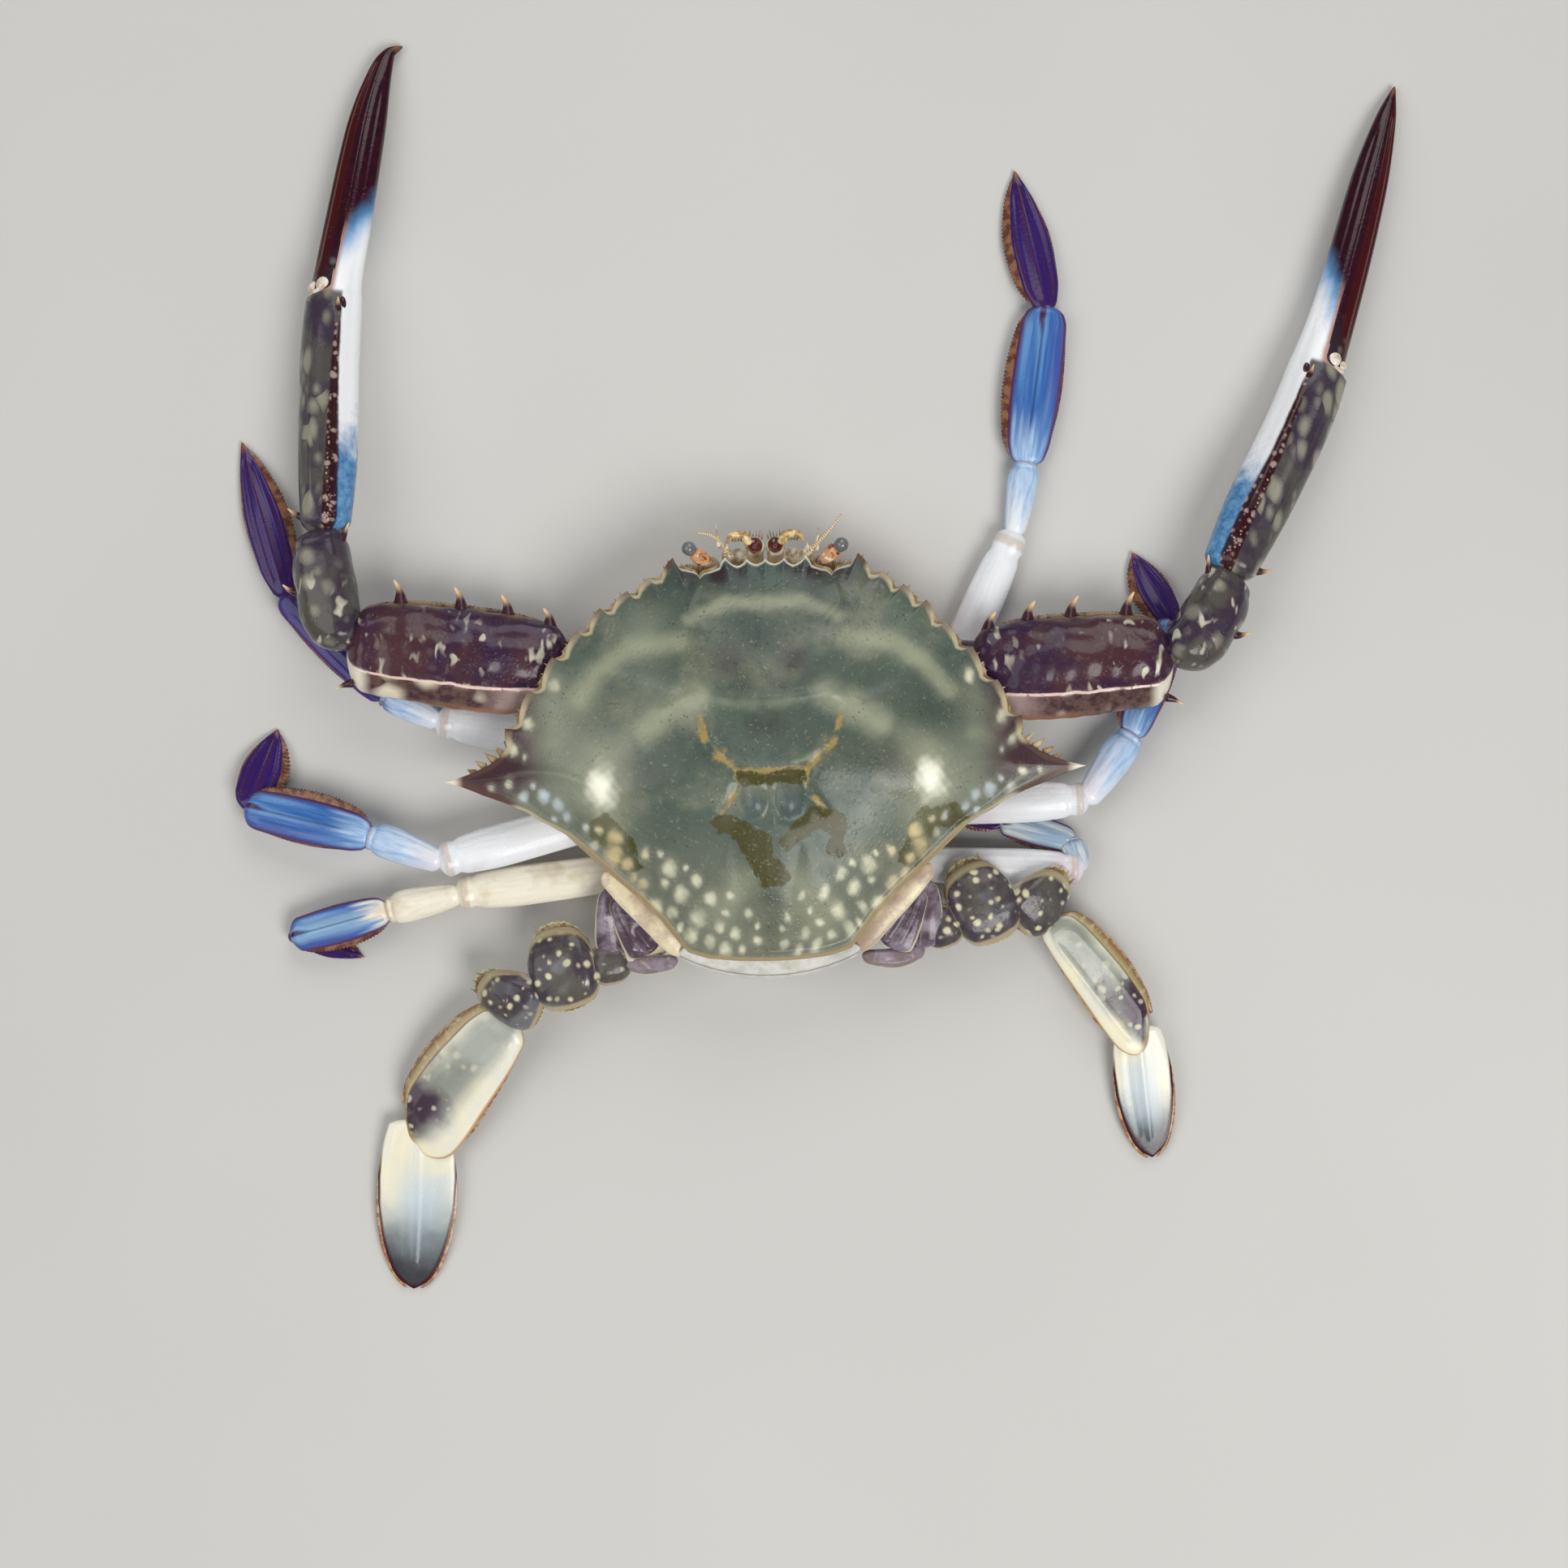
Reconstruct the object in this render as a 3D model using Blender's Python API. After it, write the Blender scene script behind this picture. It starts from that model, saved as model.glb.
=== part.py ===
"""A blue swimming crab at life size, lying belly down with its arms and legs spread.

Every place is given as (out, ahead, up) in millimetres: out from the body's midline, ahead
towards the head, up from the floor. The animal's left side is +X and its head faces -Y.
Headings are in degrees from straight ahead, growing outwards. Each node is one closed shell
made by carrying a cross-section along a path, and neighbours keep a thin gap.
"""

import math

import bmesh
import bpy
from mathutils import Vector

MM = 0.001
GAP = 0.3                  # clearance between neighbouring shell pieces
SEAT_GAP = GAP + 0.1       # clearance of a plate that lies in a recess of the thorax
RING_STEP = 0.4            # least distance from a joint's plane to the next ring of a limb

# Carapace
SPINE_SPAN = 180.0         # across the tips of the two side spines
CENTRE_AHEAD = 4.0         # middle of the dome, measured from the line of the side spines
DOME_TOP = 48.0
RIM_MIDDLE = 31.0          # height of the rim at the midline
RIM_DROP = 4.0             # how much lower the rim is at the side spines
DOME_POWER = 2.0
PARTING = 22.0             # level where the carapace ends and the thorax begins
PARTING_INSET = 0.9
# front teeth from the midline out to the corner of the orbit: (out, ahead)
FRONT = ((0.0, 61.2), (2.6, 59.7), (5.2, 61.2), (7.9, 59.1), (11.2, 61.4), (12.8, 58.4),
         (17.0, 56.9), (18.4, 55.7), (19.8, 57.0), (23.6, 58.0))
# tips of the nine side teeth, the last one being the long side spine
TEETH = ((25.8, 60.9), (32.6, 55.6), (38.6, 52.0), (45.6, 47.5), (51.7, 41.1),
         (58.7, 34.2), (65.7, 24.7), (72.3, 14.5), (SPINE_SPAN / 2, 0.0))
NOTCH_DEPTH = 2.6          # how far a notch lies inside the line of the tips
NOTCH_PLACE = 0.27         # how far it lies from the next tip, as a share of the spacing
TOOTH_BULGE = 0.5
SPINE_FRONT = ((72.4, 8.6), (80.4, 6.6), (82.0, 3.0))
REAR = ((79.3, -3.9), (72.6, -6.4), (67.0, -8.9), (56.2, -15.4), (45.3, -25.6), (36.3, -33.6),
        (29.9, -40.2), (25.4, -46.0), (22.6, -49.2), (17.0, -51.0), (8.5, -51.9))
REAR_END = (0.0, -52.1)
SPINE_BASE_OUT = 72.0      # the dome stops here, and the side spine stands out beyond it
DOME_RINGS = (0.18, 0.36, 0.54, 0.7, 0.84, 0.95)

# Thorax: (up, share of the dome's half-width, front, rear) from the parting level down
THORAX_RINGS = ((PARTING - GAP, 0.895, 54.0, -46.0), (20.8, 0.68, 53.0, -48.0),
                (15.0, 0.6, 52.0, -51.0), (8.0, 0.52, 44.0, -49.0), (2.5, 0.42, 36.0, -42.0),
                (0.0, 0.32, 30.0, -35.0))
THORAX_SIDES = 36
LEG_SIDES, ARM_SIDES, SWIM_SIDES = 8, 10, 12    # points round each kind of limb

# Limb roots: (out, ahead, up) where the first free piece meets its coxa on the thorax
ARM_ROOT = (47.0, 30.0, 16.5)
LEG_ROOTS = ((45.0, 9.0, 7.0), (45.0, -10.5, 11.5), (42.0, -27.0, 9.5))
# Coxa of each limb: (length, heading, climb) of the stub that ends at the limb's root
ARM_COXA = (16.0, 80, 0)
LEG_COXAE = ((16.0, 76, 0), (16.0, 92, 0), (16.0, 108, 0))
SWIM_COXA = (28.0, 140, 0)

# Outlines along a limb piece: (place along it, fore, aft, up, down) as shares of its half-width
# and half-thickness. Fore is the edge that faces ahead when the limb points out.
LEG_MERUS = ((0, 0.72, 0.72, 0.75, 0.75), (0.18, 0.95, 0.95, 1, 1), (0.62, 1, 1, 1, 1),
             (0.9, 0.84, 0.8, 0.9, 0.9), (1, 0.62, 0.62, 0.75, 0.75))
LEG_CARPUS = ((0, 0.62, 0.62, 0.75, 0.75), (0.38, 0.88, 0.88, 0.95, 0.95),
              (0.72, 1, 0.95, 1, 1), (1, 0.7, 0.7, 0.8, 0.8))
LEG_PROPODUS = ((0, 0.5, 0.5, 0.8, 0.8), (0.2, 0.85, 0.8, 1, 1), (0.55, 1, 1, 0.95, 0.95),
                (0.88, 0.85, 0.85, 0.8, 0.8), (1, 0.5, 0.5, 0.7, 0.7))
LEG_DACTYLUS = ((0, 0.5, 0.5, 0.8, 0.8), (0.22, 0.95, 0.95, 1, 1), (0.45, 1, 1, 0.9, 0.9),
                (0.78, 0.62, 0.62, 0.6, 0.6), (1, 0.06, 0.06, 0.14, 0.14))
LEG_PIECES = (("merus", LEG_MERUS), ("carpus", LEG_CARPUS), ("propodus", LEG_PROPODUS),
              ("dactylus", LEG_DACTYLUS))

# Pose of each walking leg, root to tip: (length, heading, climb, half-width, half-thickness)
LEG_POSES = {
    "left_leg_1": ((49.5, 80, 0, 5.8, 3.3), (17.7, 63, -3, 4.2, 3.2), (40.7, 43, -2, 5.4, 2.6),
                   (46.5, 15, -4, 5.4, 1.8)),
    "left_leg_2": ((49.6, 104, 5, 6.2, 3.4), (21.8, 69, -5, 5.0, 3.3), (37.8, 76, -11, 6.4, 2.6),
                   (24.6, -20, -14, 5.6, 1.8)),
    "left_leg_3": ((46.9, 96, 2, 5.8, 3.3), (21.2, 102, -5, 4.9, 3.1), (29.1, 104, -8, 5.6, 2.4),
                   (20.6, -109, -7, 3.2, 1.2)),
    "right_leg_1": ((65.3, 26, -2, 5.8, 3.3), (20.6, 11, 0, 4.5, 3.1), (45.0, 9, -1, 7.2, 2.6),
                    (41.6, -11, -4, 5.6, 1.8)),
    "right_leg_2": ((46.3, 89, 2, 5.8, 3.4), (23.6, 38, -12, 5.2, 3.3), (35.3, 22, -6, 5.6, 2.4),
                    (23.3, -28, -7, 4.4, 1.6)),
    "right_leg_3": ((48.0, 93, -2, 5.4, 3.0), (8.6, -14, -11, 3.8, 2.4), (20.9, -73, -7, 4.4, 1.7),
                    (17.2, -77, -3, 3.4, 1.2)),
}
FOLDED = ("left_leg_3",)   # its last piece lies tucked beneath the one before

# Arms: the same pieces in two poses
ARM_POSES = {
    "left": {"ischium": (8.3, 78, 3), "merus": (63.3, 83, 2), "carpus": (33.5, 10, -3),
             "palm": (68.8, -3, -7), "fingers": ((21.6, -12, -3), (40.5, -12, -5), (14.4, -26, -10)),
             "wrist_seat": 62, "palm_seat": -34, "palm_half": 8.4, "finger_half": 6.8},
    "right": {"ischium": (12.0, 99, 2), "merus": (58.0, 89, 2), "carpus": (29.4, 34, -4),
              "palm": (66.3, 26, -7), "fingers": ((31.6, 17, -2), (37.3, 17, -5), (17.2, 18, -10)),
              "wrist_seat": 74, "palm_seat": 0, "palm_half": 9.2, "finger_half": 6.6},
}
ARM_ISCHIUM = ((0, 6.0, 6.0, 4.0, 4.4), (0.6, 8.0, 8.0, 4.2, 4.6), (1, 8.5, 8.5, 4.4, 4.6))
ARM_MERUS = ((0, 8.5, 8.5, 4.6, 4.6), (0.12, 12.0, 13.0, 5.4, 5.0), (0.35, 13.5, 15.2, 7.6, 6.6),
             (0.7, 13.8, 14.0, 8.2, 7.6), (0.93, 12.0, 12.4, 7.8, 7.4), (1, 9.6, 11.0, 7.0, 6.8))
ARM_CARPUS = ((0, 5.8, 7.2, 6.6, 6.4), (0.34, 6.2, 11.0, 8.2, 7.2), (0.66, 6.6, 10.6, 8.0, 7.0),
              (1, 6.4, 7.4, 6.8, 6.4))
# spines: (place, length, lean, half-base); a negative length stands out on the rear edge
ARM_SPINES = ((0.1, 4.5, 1.5, 0.05), (0.29, 5.5, 1.5, 0.05), (0.5, 6.0, 1.5, 0.05),
              (0.77, 6.5, 1.5, 0.05))
CARPUS_SPINE = ((0.5, -3.6, 2.4, 0.08),)
PALM_SPINE = ((0.035, -4.4, 1.0, 0.03),)
PALM_UP, PALM_DOWN = 8.0, 8.2
PALM_TAPER = 0.8           # the palm's width at the wrist, as a share of its widest
FINGER_SHAPE = ((0.0, 1.0, 0.72), (0.3, 0.97, 0.6), (0.62, 0.84, 0.48), (0.88, 0.45, 0.26),
                (1.0, 0.06, 0.07))   # (place, width, thickness) as shares of the palm's

# Swimming legs: each row is (length, heading, climb), with the seats of the joints
SWIM_POSES = {
    "left": {"root": (40.1, -52.3, 16.0), "base": (9.7, 95, 6), "merus": (18.3, 102, -3),
             "carpus": (14.5, 151, -16), "propodus": (41.2, 136, -10), "paddle": (49.0, 176, -4.5),
             "seats": {"carpus": 104, "propodus": 172, "paddle": 137},
             "propodus_half": (11.6, 12.6), "paddle_half": 11.8},
    "right": {"root": (44.2, -46.9, 16.0), "base": (9.6, 67, 6), "merus": (18.1, 65, -3),
              "carpus": (14.7, 133, -16), "propodus": (40.9, 141, -8), "paddle": (38.3, 174, -7),
              "seats": {"carpus": 80, "propodus": 150, "paddle": 146},
              "propodus_half": (9.6, 7.4), "paddle_half": 8.8},
}
SWIM_COXA_SHAPE = ((0, 12.0, 11.0, 5.0, 6.0), (0.6, 13.0, 10.0, 5.4, 6.5), (1, 5.5, 4.4, 4.0, 4.0))
SWIM_BASE = ((0, 5.5, 4.4, 4.0, 4.0), (0.5, 7.0, 6.0, 4.8, 4.6), (1, 6.4, 6.2, 4.6, 4.4))
SWIM_MERUS = ((0, 7.6, 7.6, 4.8, 4.4), (0.3, 12.6, 10.0, 5.4, 5.0), (0.7, 12.4, 10.2, 5.4, 5.0),
              (1, 6.8, 6.0, 4.6, 4.2))
SWIM_CARPUS = ((0, 5.4, 3.6, 4.6, 4.0), (0.36, 13.0, 5.4, 5.2, 4.0), (0.75, 12.4, 6.2, 4.6, 3.6),
               (1, 8.0, 5.6, 3.8, 3.2))
SWIM_PROPODUS = ((0, 0.7, 0.46, 2.8, 2.4), (0.22, 1.06, 0.7, 2.4, 2.2), (0.5, 1.14, 0.86, 2.0, 2.0),
                 (0.8, 1.0, 1.04, 1.7, 1.7), (1, 0.74, 0.98, 1.4, 1.4))
PADDLE_STATIONS = 8

# Head parts, given for the left and the right side where the two differ
EYE_PLACE = (21.2, 63.4, 28.4)
STALK_ROOT = (14.6, 58.4, 23.6)
STALK_HALF = (1.5, 2.0, 1.7)
EYE_RADIUS = 2.1
FEELERS = {
    "left": ((9.2, 56.6, 21.6), (10.6, 61.8, 24.4), (12.8, 65.4, 27.4), (15.8, 67.2, 29.0),
             (19.0, 67.6, 30.0)),
    "right": ((9.8, 56.6, 21.6), (11.6, 61.6, 24.4), (14.4, 63.8, 27.4), (17.6, 67.0, 29.0),
              (21.6, 71.8, 30.0)),
}
FEELER_HALF = (2.4, 1.9, 0.7, 0.45, 0.3)
# path of a small feeler: out of its round base and folded out to the side
SMALL_FEELER = ((3.0, 56.6, 22.0), (3.0, 61.4, 24.2), (3.1, 65.4, 26.4), (5.2, 67.2, 27.6),
                (8.0, 66.2, 27.6), (9.2, 64.6, 27.2))
SMALL_FEELER_HALF = (2.0, 2.6, 2.2, 1.1, 0.7, 0.3)
JAW_PATH = ((7.0, 34.6, 2.6), (7.2, 42.0, 6.8), (7.0, 50.6, 14.0))
JAW_HALF = (6.0, 6.6, 5.2)
JAW_THICKNESS = 1.5

# Abdomen, folded round the rear end and forward under the thorax: (ahead, up, half-width)
ABDOMEN_PATH = ((-50.8, 26.4, 22.0), (-55.2, 22.6, 25.5), (-57.0, 16.0, 24.5), (-54.2, 8.2, 18.0),
                (-46.0, 2.6, 13.5), (-36.0, 1.2, 11.5), (-20.0, 1.2, 8.0), (-4.0, 1.2, 6.0),
                (8.0, 1.2, 2.0))
ABDOMEN_THICKNESS = 1.15
PLATE_SIDES = 8

COLOURS = {
    "carapace": ((0.16, 0.21, 0.17), 0.35), "thorax": ((0.62, 0.54, 0.42), 0.45),
    "arm": ((0.10, 0.05, 0.12), 0.3), "leg": ((0.36, 0.46, 0.66), 0.35),
    "swim": ((0.17, 0.16, 0.17), 0.35), "paddle": ((0.66, 0.66, 0.6), 0.35),
    "cream": ((0.70, 0.62, 0.45), 0.4), "eye": ((0.12, 0.13, 0.14), 0.12),
    "amber": ((0.55, 0.25, 0.08), 0.3),
}


def clear_scene():
    for item in list(bpy.data.objects):
        bpy.data.objects.remove(item)


def material(kind):
    """One Principled material for each kind of shell."""
    if kind in bpy.data.materials:
        return bpy.data.materials[kind]
    colour, roughness = COLOURS[kind]
    made = bpy.data.materials.new(kind)
    made.use_nodes = True
    surface = made.node_tree.nodes["Principled BSDF"]
    surface.inputs["Base Color"].default_value = (*colour, 1.0)
    surface.inputs["Roughness"].default_value = roughness
    surface.inputs["Metallic"].default_value = 0.0
    return made


def world(side, place):
    """(out, ahead, up) in millimetres to metres in the scene."""
    out, ahead, up = place
    across = out if side == "left" else -out
    return Vector((across, -ahead, max(up, 0.0))) * MM


def closed_object(name, kind, rings, side="left", tip=None, cutter=False):
    """Bridge closed rings of (out, ahead, up) points and cap both ends."""
    shell = bmesh.new()
    loops = [[shell.verts.new(world(side, p)) for p in ring] for ring in rings]
    count = len(rings[0])
    for near, far in zip(loops, loops[1:]):
        for k in range(count):
            shell.faces.new((near[k], near[(k + 1) % count], far[(k + 1) % count], far[k]))
    ends = [loops[0]] if tip is not None else [loops[0], loops[-1]]
    for loop in ends:
        shell.faces.new(loop)
    if tip is not None:
        point = shell.verts.new(world(side, tip))
        for k in range(count):
            shell.faces.new((loops[-1][k], loops[-1][(k + 1) % count], point))
    bmesh.ops.triangulate(shell, faces=shell.faces)
    bmesh.ops.recalc_face_normals(shell, faces=shell.faces)
    mesh = bpy.data.meshes.new(name)
    shell.to_mesh(mesh)
    shell.free()
    made = bpy.data.objects.new(name, mesh)
    bpy.context.scene.collection.objects.link(made)
    if cutter:
        made.hide_render = True
        made.display_type = "WIRE"
        return made
    mesh.materials.append(material(kind))
    mesh.shade_smooth()
    mesh.set_sharp_from_angle(angle=math.radians(40))
    return made


def cut_or_join(target, other, operation):
    """Apply one exact Boolean and delete the other object."""
    step = target.modifiers.new(operation.lower(), "BOOLEAN")
    step.operation = operation
    step.solver = "EXACT"
    step.object = other
    bpy.context.view_layer.update()
    graph = bpy.context.evaluated_depsgraph_get()
    mesh = bpy.data.meshes.new_from_object(target.evaluated_get(graph))
    target.modifiers.clear()
    target.data = mesh
    bpy.data.objects.remove(other)


# Paths and cross-sections

def aim(heading, climb):
    """Unit direction, fore direction and upward direction of a limb piece."""
    turn, rise = math.radians(heading), math.radians(climb)
    along = Vector((math.sin(turn) * math.cos(rise), math.cos(turn) * math.cos(rise),
                    math.sin(rise)))
    fore = Vector((-math.cos(turn), math.sin(turn), 0.0))
    return along, fore, along.cross(fore)


def section(fore, aft, up, down, count, power, shift=0.0):
    """A rounded cross-section as (fore, up) pairs; power 1 is an ellipse, less is boxier."""
    points = []
    for k in range(count):
        angle = math.tau * k / count
        c, s = math.cos(angle), math.sin(angle)
        across = math.copysign(abs(c) ** power, c) * (fore if c > 0 else aft)
        height = math.copysign(abs(s) ** power, s) * (up if s > 0 else down)
        points.append((across + shift, height))
    return points


def station_at(stations, place):
    """The outline at a place along a limb piece, straight between its stations."""
    for near, far in zip(stations, stations[1:]):
        if near[0] <= place <= far[0]:
            share = (place - near[0]) / (far[0] - near[0])
            return tuple(a + (b - a) * share for a, b in zip(near, far))
    return stations[-1]


def seat_normal(heading):
    turn = math.radians(heading)
    return Vector((math.sin(turn), math.cos(turn), 0.0))


def on_seat(point, centre, along, normal, offset):
    """Slide a point along the limb until it lies in the joint's plane, plus an offset."""
    distance = (centre - point).dot(normal) + offset
    return point + along * (distance / along.dot(normal))


def clear_of_seats(points, corners, seats, first, last, steps):
    """Slide the points of an inner ring back between the planes of both joints."""
    after, before = steps
    for k, point in enumerate(points):
        inside = GAP / 2 + RING_STEP * after
        if seats[0] is not None and (point - corners[0]).dot(seats[0]) < inside:
            points[k] = on_seat(point, corners[0], first, seats[0], inside)
        inside = GAP / 2 + RING_STEP * before
        if seats[1] is not None and (corners[-1] - point).dot(seats[1]) < inside:
            points[k] = on_seat(point, corners[-1], last, seats[1], -inside)


def limb_rings(start, legs, stations, seats, count, power=1.0, spines=(), shift=0.0):
    """Rings along a path of straight legs, with slanted ends at the joints' planes.

    A spine is (place, length, lean, half-base): the foremost or rearmost point of one ring,
    drawn out sideways by its length and along the limb by its lean.
    """
    corners = [Vector(start)]
    for length, heading, climb in legs:
        corners.append(corners[-1] + aim(heading, climb)[0] * length)
    total = sum(leg[0] for leg in legs)
    rows = {station[0]: station for station in stations}
    for place, _length, _lean, base in spines:
        for near in (place - base, place, place + base):
            rows[near] = (near, *station_at(stations, near)[1:])
    rings = []
    first, last = aim(*legs[0][1:3])[0], aim(*legs[-1][1:3])[0]
    for order, place in enumerate(sorted(rows)):
        walked = place * total
        index = 0
        while index < len(legs) - 1 and walked > legs[index][0] + 1e-6:
            walked -= legs[index][0]
            index += 1
        along, fore, up = aim(legs[index][1], legs[index][2])
        centre = corners[index] + along * walked
        points = [centre + fore * a + up * b
                  for a, b in section(*rows[place][1:], count, power, shift)]
        for spot, length, lean, _base in spines:
            if spot == place:
                k = 0 if length > 0 else count // 2
                points[k] = points[k] + fore * length + along * lean
        if place == 0 and seats[0] is not None:
            points = [on_seat(p, corners[0], along, seats[0], GAP / 2) for p in points]
        elif place == 1 and seats[1] is not None:
            points = [on_seat(p, corners[-1], along, seats[1], -GAP / 2) for p in points]
        else:
            steps = order, len(rows) - 1 - order
            clear_of_seats(points, corners, seats, first, last, steps)
        rings.append(points)
    return rings, corners[-1]


def halfway(one, other):
    """Normal of the joint's plane halfway between two directions."""
    return (aim(*one)[0] + aim(*other)[0]).normalized()


# Carapace

def side_margin():
    """Half of the toothed outline, from the front's middle to the rear's middle."""
    points = list(FRONT)
    for near, far in zip(TEETH, TEETH[1:-1]):
        line = Vector((far[0] - near[0], far[1] - near[1]))
        inward = Vector((line.y, -line.x)).normalized()
        notch = Vector(far) - line * NOTCH_PLACE + inward * NOTCH_DEPTH
        slope = (Vector(near) + notch) / 2 - inward * TOOTH_BULGE
        points += [near, tuple(slope), tuple(notch)]
    points += [TEETH[-2], *SPINE_FRONT, TEETH[-1], *REAR]
    return points


def rim_height(out):
    return RIM_MIDDLE - RIM_DROP * min(abs(out) / (SPINE_SPAN / 2), 1.0) ** 0.8


def smooth_margin():
    """The outline through the bottoms of the notches, which the dome follows."""
    points = [(0.0, 59.0), (12.0, 58.0), (19.0, 55.4)]
    for near, far in zip(TEETH, TEETH[1:-1]):
        line = Vector((far[0] - near[0], far[1] - near[1]))
        inward = Vector((line.y, -line.x)).normalized()
        points.append(tuple(Vector(far) - line * NOTCH_PLACE + inward * NOTCH_DEPTH))
    points += [(SPINE_BASE_OUT - 1.0, 8.2), (SPINE_BASE_OUT, 1.0)]
    points += [p for p in REAR if p[0] < SPINE_BASE_OUT - 1.0]
    points.append(REAR_END)
    return points


def both_sides(half):
    """A whole outline from its left half, which starts and ends on the midline."""
    mirrored = [(-out, ahead) for out, ahead in reversed(half) if out > 0]
    return list(half) + mirrored


def direction_of(point):
    return math.atan2(point[0], point[1] - CENTRE_AHEAD)


def reach(outline, angle):
    """Distance from the dome's middle to a star-shaped outline in one direction."""
    spots = sorted((direction_of(p), math.hypot(p[0], p[1] - CENTRE_AHEAD)) for p in outline)
    spots = [(spots[-1][0] - math.tau, spots[-1][1])] + spots + [(spots[0][0] + math.tau, spots[0][1])]
    for near, far in zip(spots, spots[1:]):
        if near[0] <= angle <= far[0]:
            share = (angle - near[0]) / (far[0] - near[0])
            return near[1] + (far[1] - near[1]) * share
    return spots[0][1]


def from_centre(angle, distance):
    return distance * math.sin(angle), CENTRE_AHEAD + distance * math.cos(angle)


def dome_height(share, out):
    rim = rim_height(out)
    return rim + (DOME_TOP - rim) * (1.0 - share ** DOME_POWER)


def build_carapace(smooth):
    margin = both_sides(side_margin() + [REAR_END])
    angles = [direction_of(p) for p in margin]
    reaches = [reach(smooth, angle) for angle in angles]
    rings = []
    for share in (PARTING_INSET, 1.0):
        ring = []
        for point, angle, distance in zip(margin, angles, reaches):
            if share < 1.0:
                out, ahead = from_centre(angle, distance * share)
                ring.append((out, ahead, PARTING))
            else:
                ring.append((*point, rim_height(point[0])))
        rings.append(ring)
    for share in reversed(DOME_RINGS):
        ring = []
        for angle, distance in zip(angles, reaches):
            out, ahead = from_centre(angle, distance * share)
            ring.append((out, ahead, dome_height(share, out)))
        rings.append(ring)
    return closed_object("carapace", "carapace", rings, tip=(0.0, CENTRE_AHEAD, DOME_TOP))


# Thorax, jaws and abdomen

def jaw_rings(extra=0.0):
    """A third maxilliped: a flat plate leaning up against the front of the thorax."""
    rings = []
    low, high = Vector(JAW_PATH[0]), Vector(JAW_PATH[-1])
    along = (high - low).normalized()
    across = Vector((1.0, 0.0, 0.0))
    normal = across.cross(along)
    for place, half in zip(JAW_PATH, JAW_HALF):
        centre = Vector(place)
        if extra and place in (JAW_PATH[0], JAW_PATH[-1]):
            centre += along * (extra if place == JAW_PATH[-1] else -extra)
        thickness = JAW_THICKNESS + extra
        rings.append([centre + across * a + normal * b for a, b in
                      section(half + extra, half + extra, thickness, thickness, PLATE_SIDES, 0.6)])
    return rings


def abdomen_rings(extra=0.0):
    """Rings of the flat tail, each square to the path round the rear end."""
    rings = []
    last = len(ABDOMEN_PATH) - 1
    for k, (ahead, up, half) in enumerate(ABDOMEN_PATH):
        before = ABDOMEN_PATH[max(k - 1, 0)]
        after = ABDOMEN_PATH[min(k + 1, last)]
        along = Vector((0.0, after[0] - before[0], after[1] - before[1])).normalized()
        normal = Vector((0.0, -along.z, along.y))
        centre = Vector((0.0, ahead, up))
        if extra and k in (0, last):
            centre += along * (extra if k == last else -extra)
        thickness = ABDOMEN_THICKNESS + extra
        ring = [centre + Vector((a, 0.0, 0.0)) + normal * b for a, b in
                section(half + extra, half + extra, thickness, thickness, PLATE_SIDES, 0.7)]
        rings.append(ring)
    return rings


def coxa(side, root, stub, following, shape):
    """A stub from inside the thorax out to a limb's root, cut where the limb begins."""
    start = Vector(root) - aim(*stub[1:])[0] * stub[0]
    seats = None, halfway(stub[1:], following[1:3])
    rings, _end = limb_rings(start, (stub,), shape, seats, ARM_SIDES)
    return closed_object("coxa", "thorax", rings, side=side, cutter=True)


def swollen(first):
    """A coxa's outline: wide inside the thorax, and a limb's own outline at its end."""
    _place, fore, aft, up, down = first
    return ((0, fore * 1.15, aft * 1.15, up * 1.1, down * 1.1),
            (0.72, fore * 1.25, aft * 1.25, up * 1.15, down * 1.15), (1, fore, aft, up, down))


def build_thorax(smooth):
    front, rear = smooth[0][1], REAR_END[1]
    rings = []
    for up, width, ring_front, ring_rear in THORAX_RINGS:
        ring = []
        for k in range(THORAX_SIDES):
            angle = math.tau * (k + 0.5) / THORAX_SIDES - math.pi
            out, ahead = from_centre(angle, reach(smooth, angle))
            offset = ahead - CENTRE_AHEAD
            stretch = ((ring_front - CENTRE_AHEAD) / (front - CENTRE_AHEAD) if offset > 0
                       else (ring_rear - CENTRE_AHEAD) / (rear - CENTRE_AHEAD))
            ring.append((out * width, CENTRE_AHEAD + offset * stretch, up))
        rings.append(ring)
    thorax = closed_object("thorax", "thorax", rings)
    for side in ("left", "right"):
        arm, swim = ARM_POSES[side], SWIM_POSES[side]
        stubs = [coxa(side, ARM_ROOT, ARM_COXA, arm["ischium"], swollen(ARM_ISCHIUM[0])),
                 coxa(side, swim["root"], SWIM_COXA, swim["base"], SWIM_COXA_SHAPE)]
        for number, root in enumerate(LEG_ROOTS):
            merus = LEG_POSES[f"{side}_leg_{number + 1}"][0]
            first = swollen(scaled(LEG_MERUS[:1], *merus[3:])[0])
            stubs.append(coxa(side, root, LEG_COXAE[number], merus, first))
        for stub in stubs:
            cut_or_join(thorax, stub, "UNION")
    groove = closed_object("groove", "thorax", abdomen_rings(SEAT_GAP), cutter=True)
    cut_or_join(thorax, groove, "DIFFERENCE")
    for side in ("left", "right"):
        seat = closed_object("jaw_seat", "thorax", jaw_rings(SEAT_GAP), side=side, cutter=True)
        cut_or_join(thorax, seat, "DIFFERENCE")
    return thorax


# Limbs

def scaled(shape, half, thick):
    return tuple((place, fore * half, aft * half, up * thick, down * thick)
                 for place, fore, aft, up, down in shape)


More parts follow.
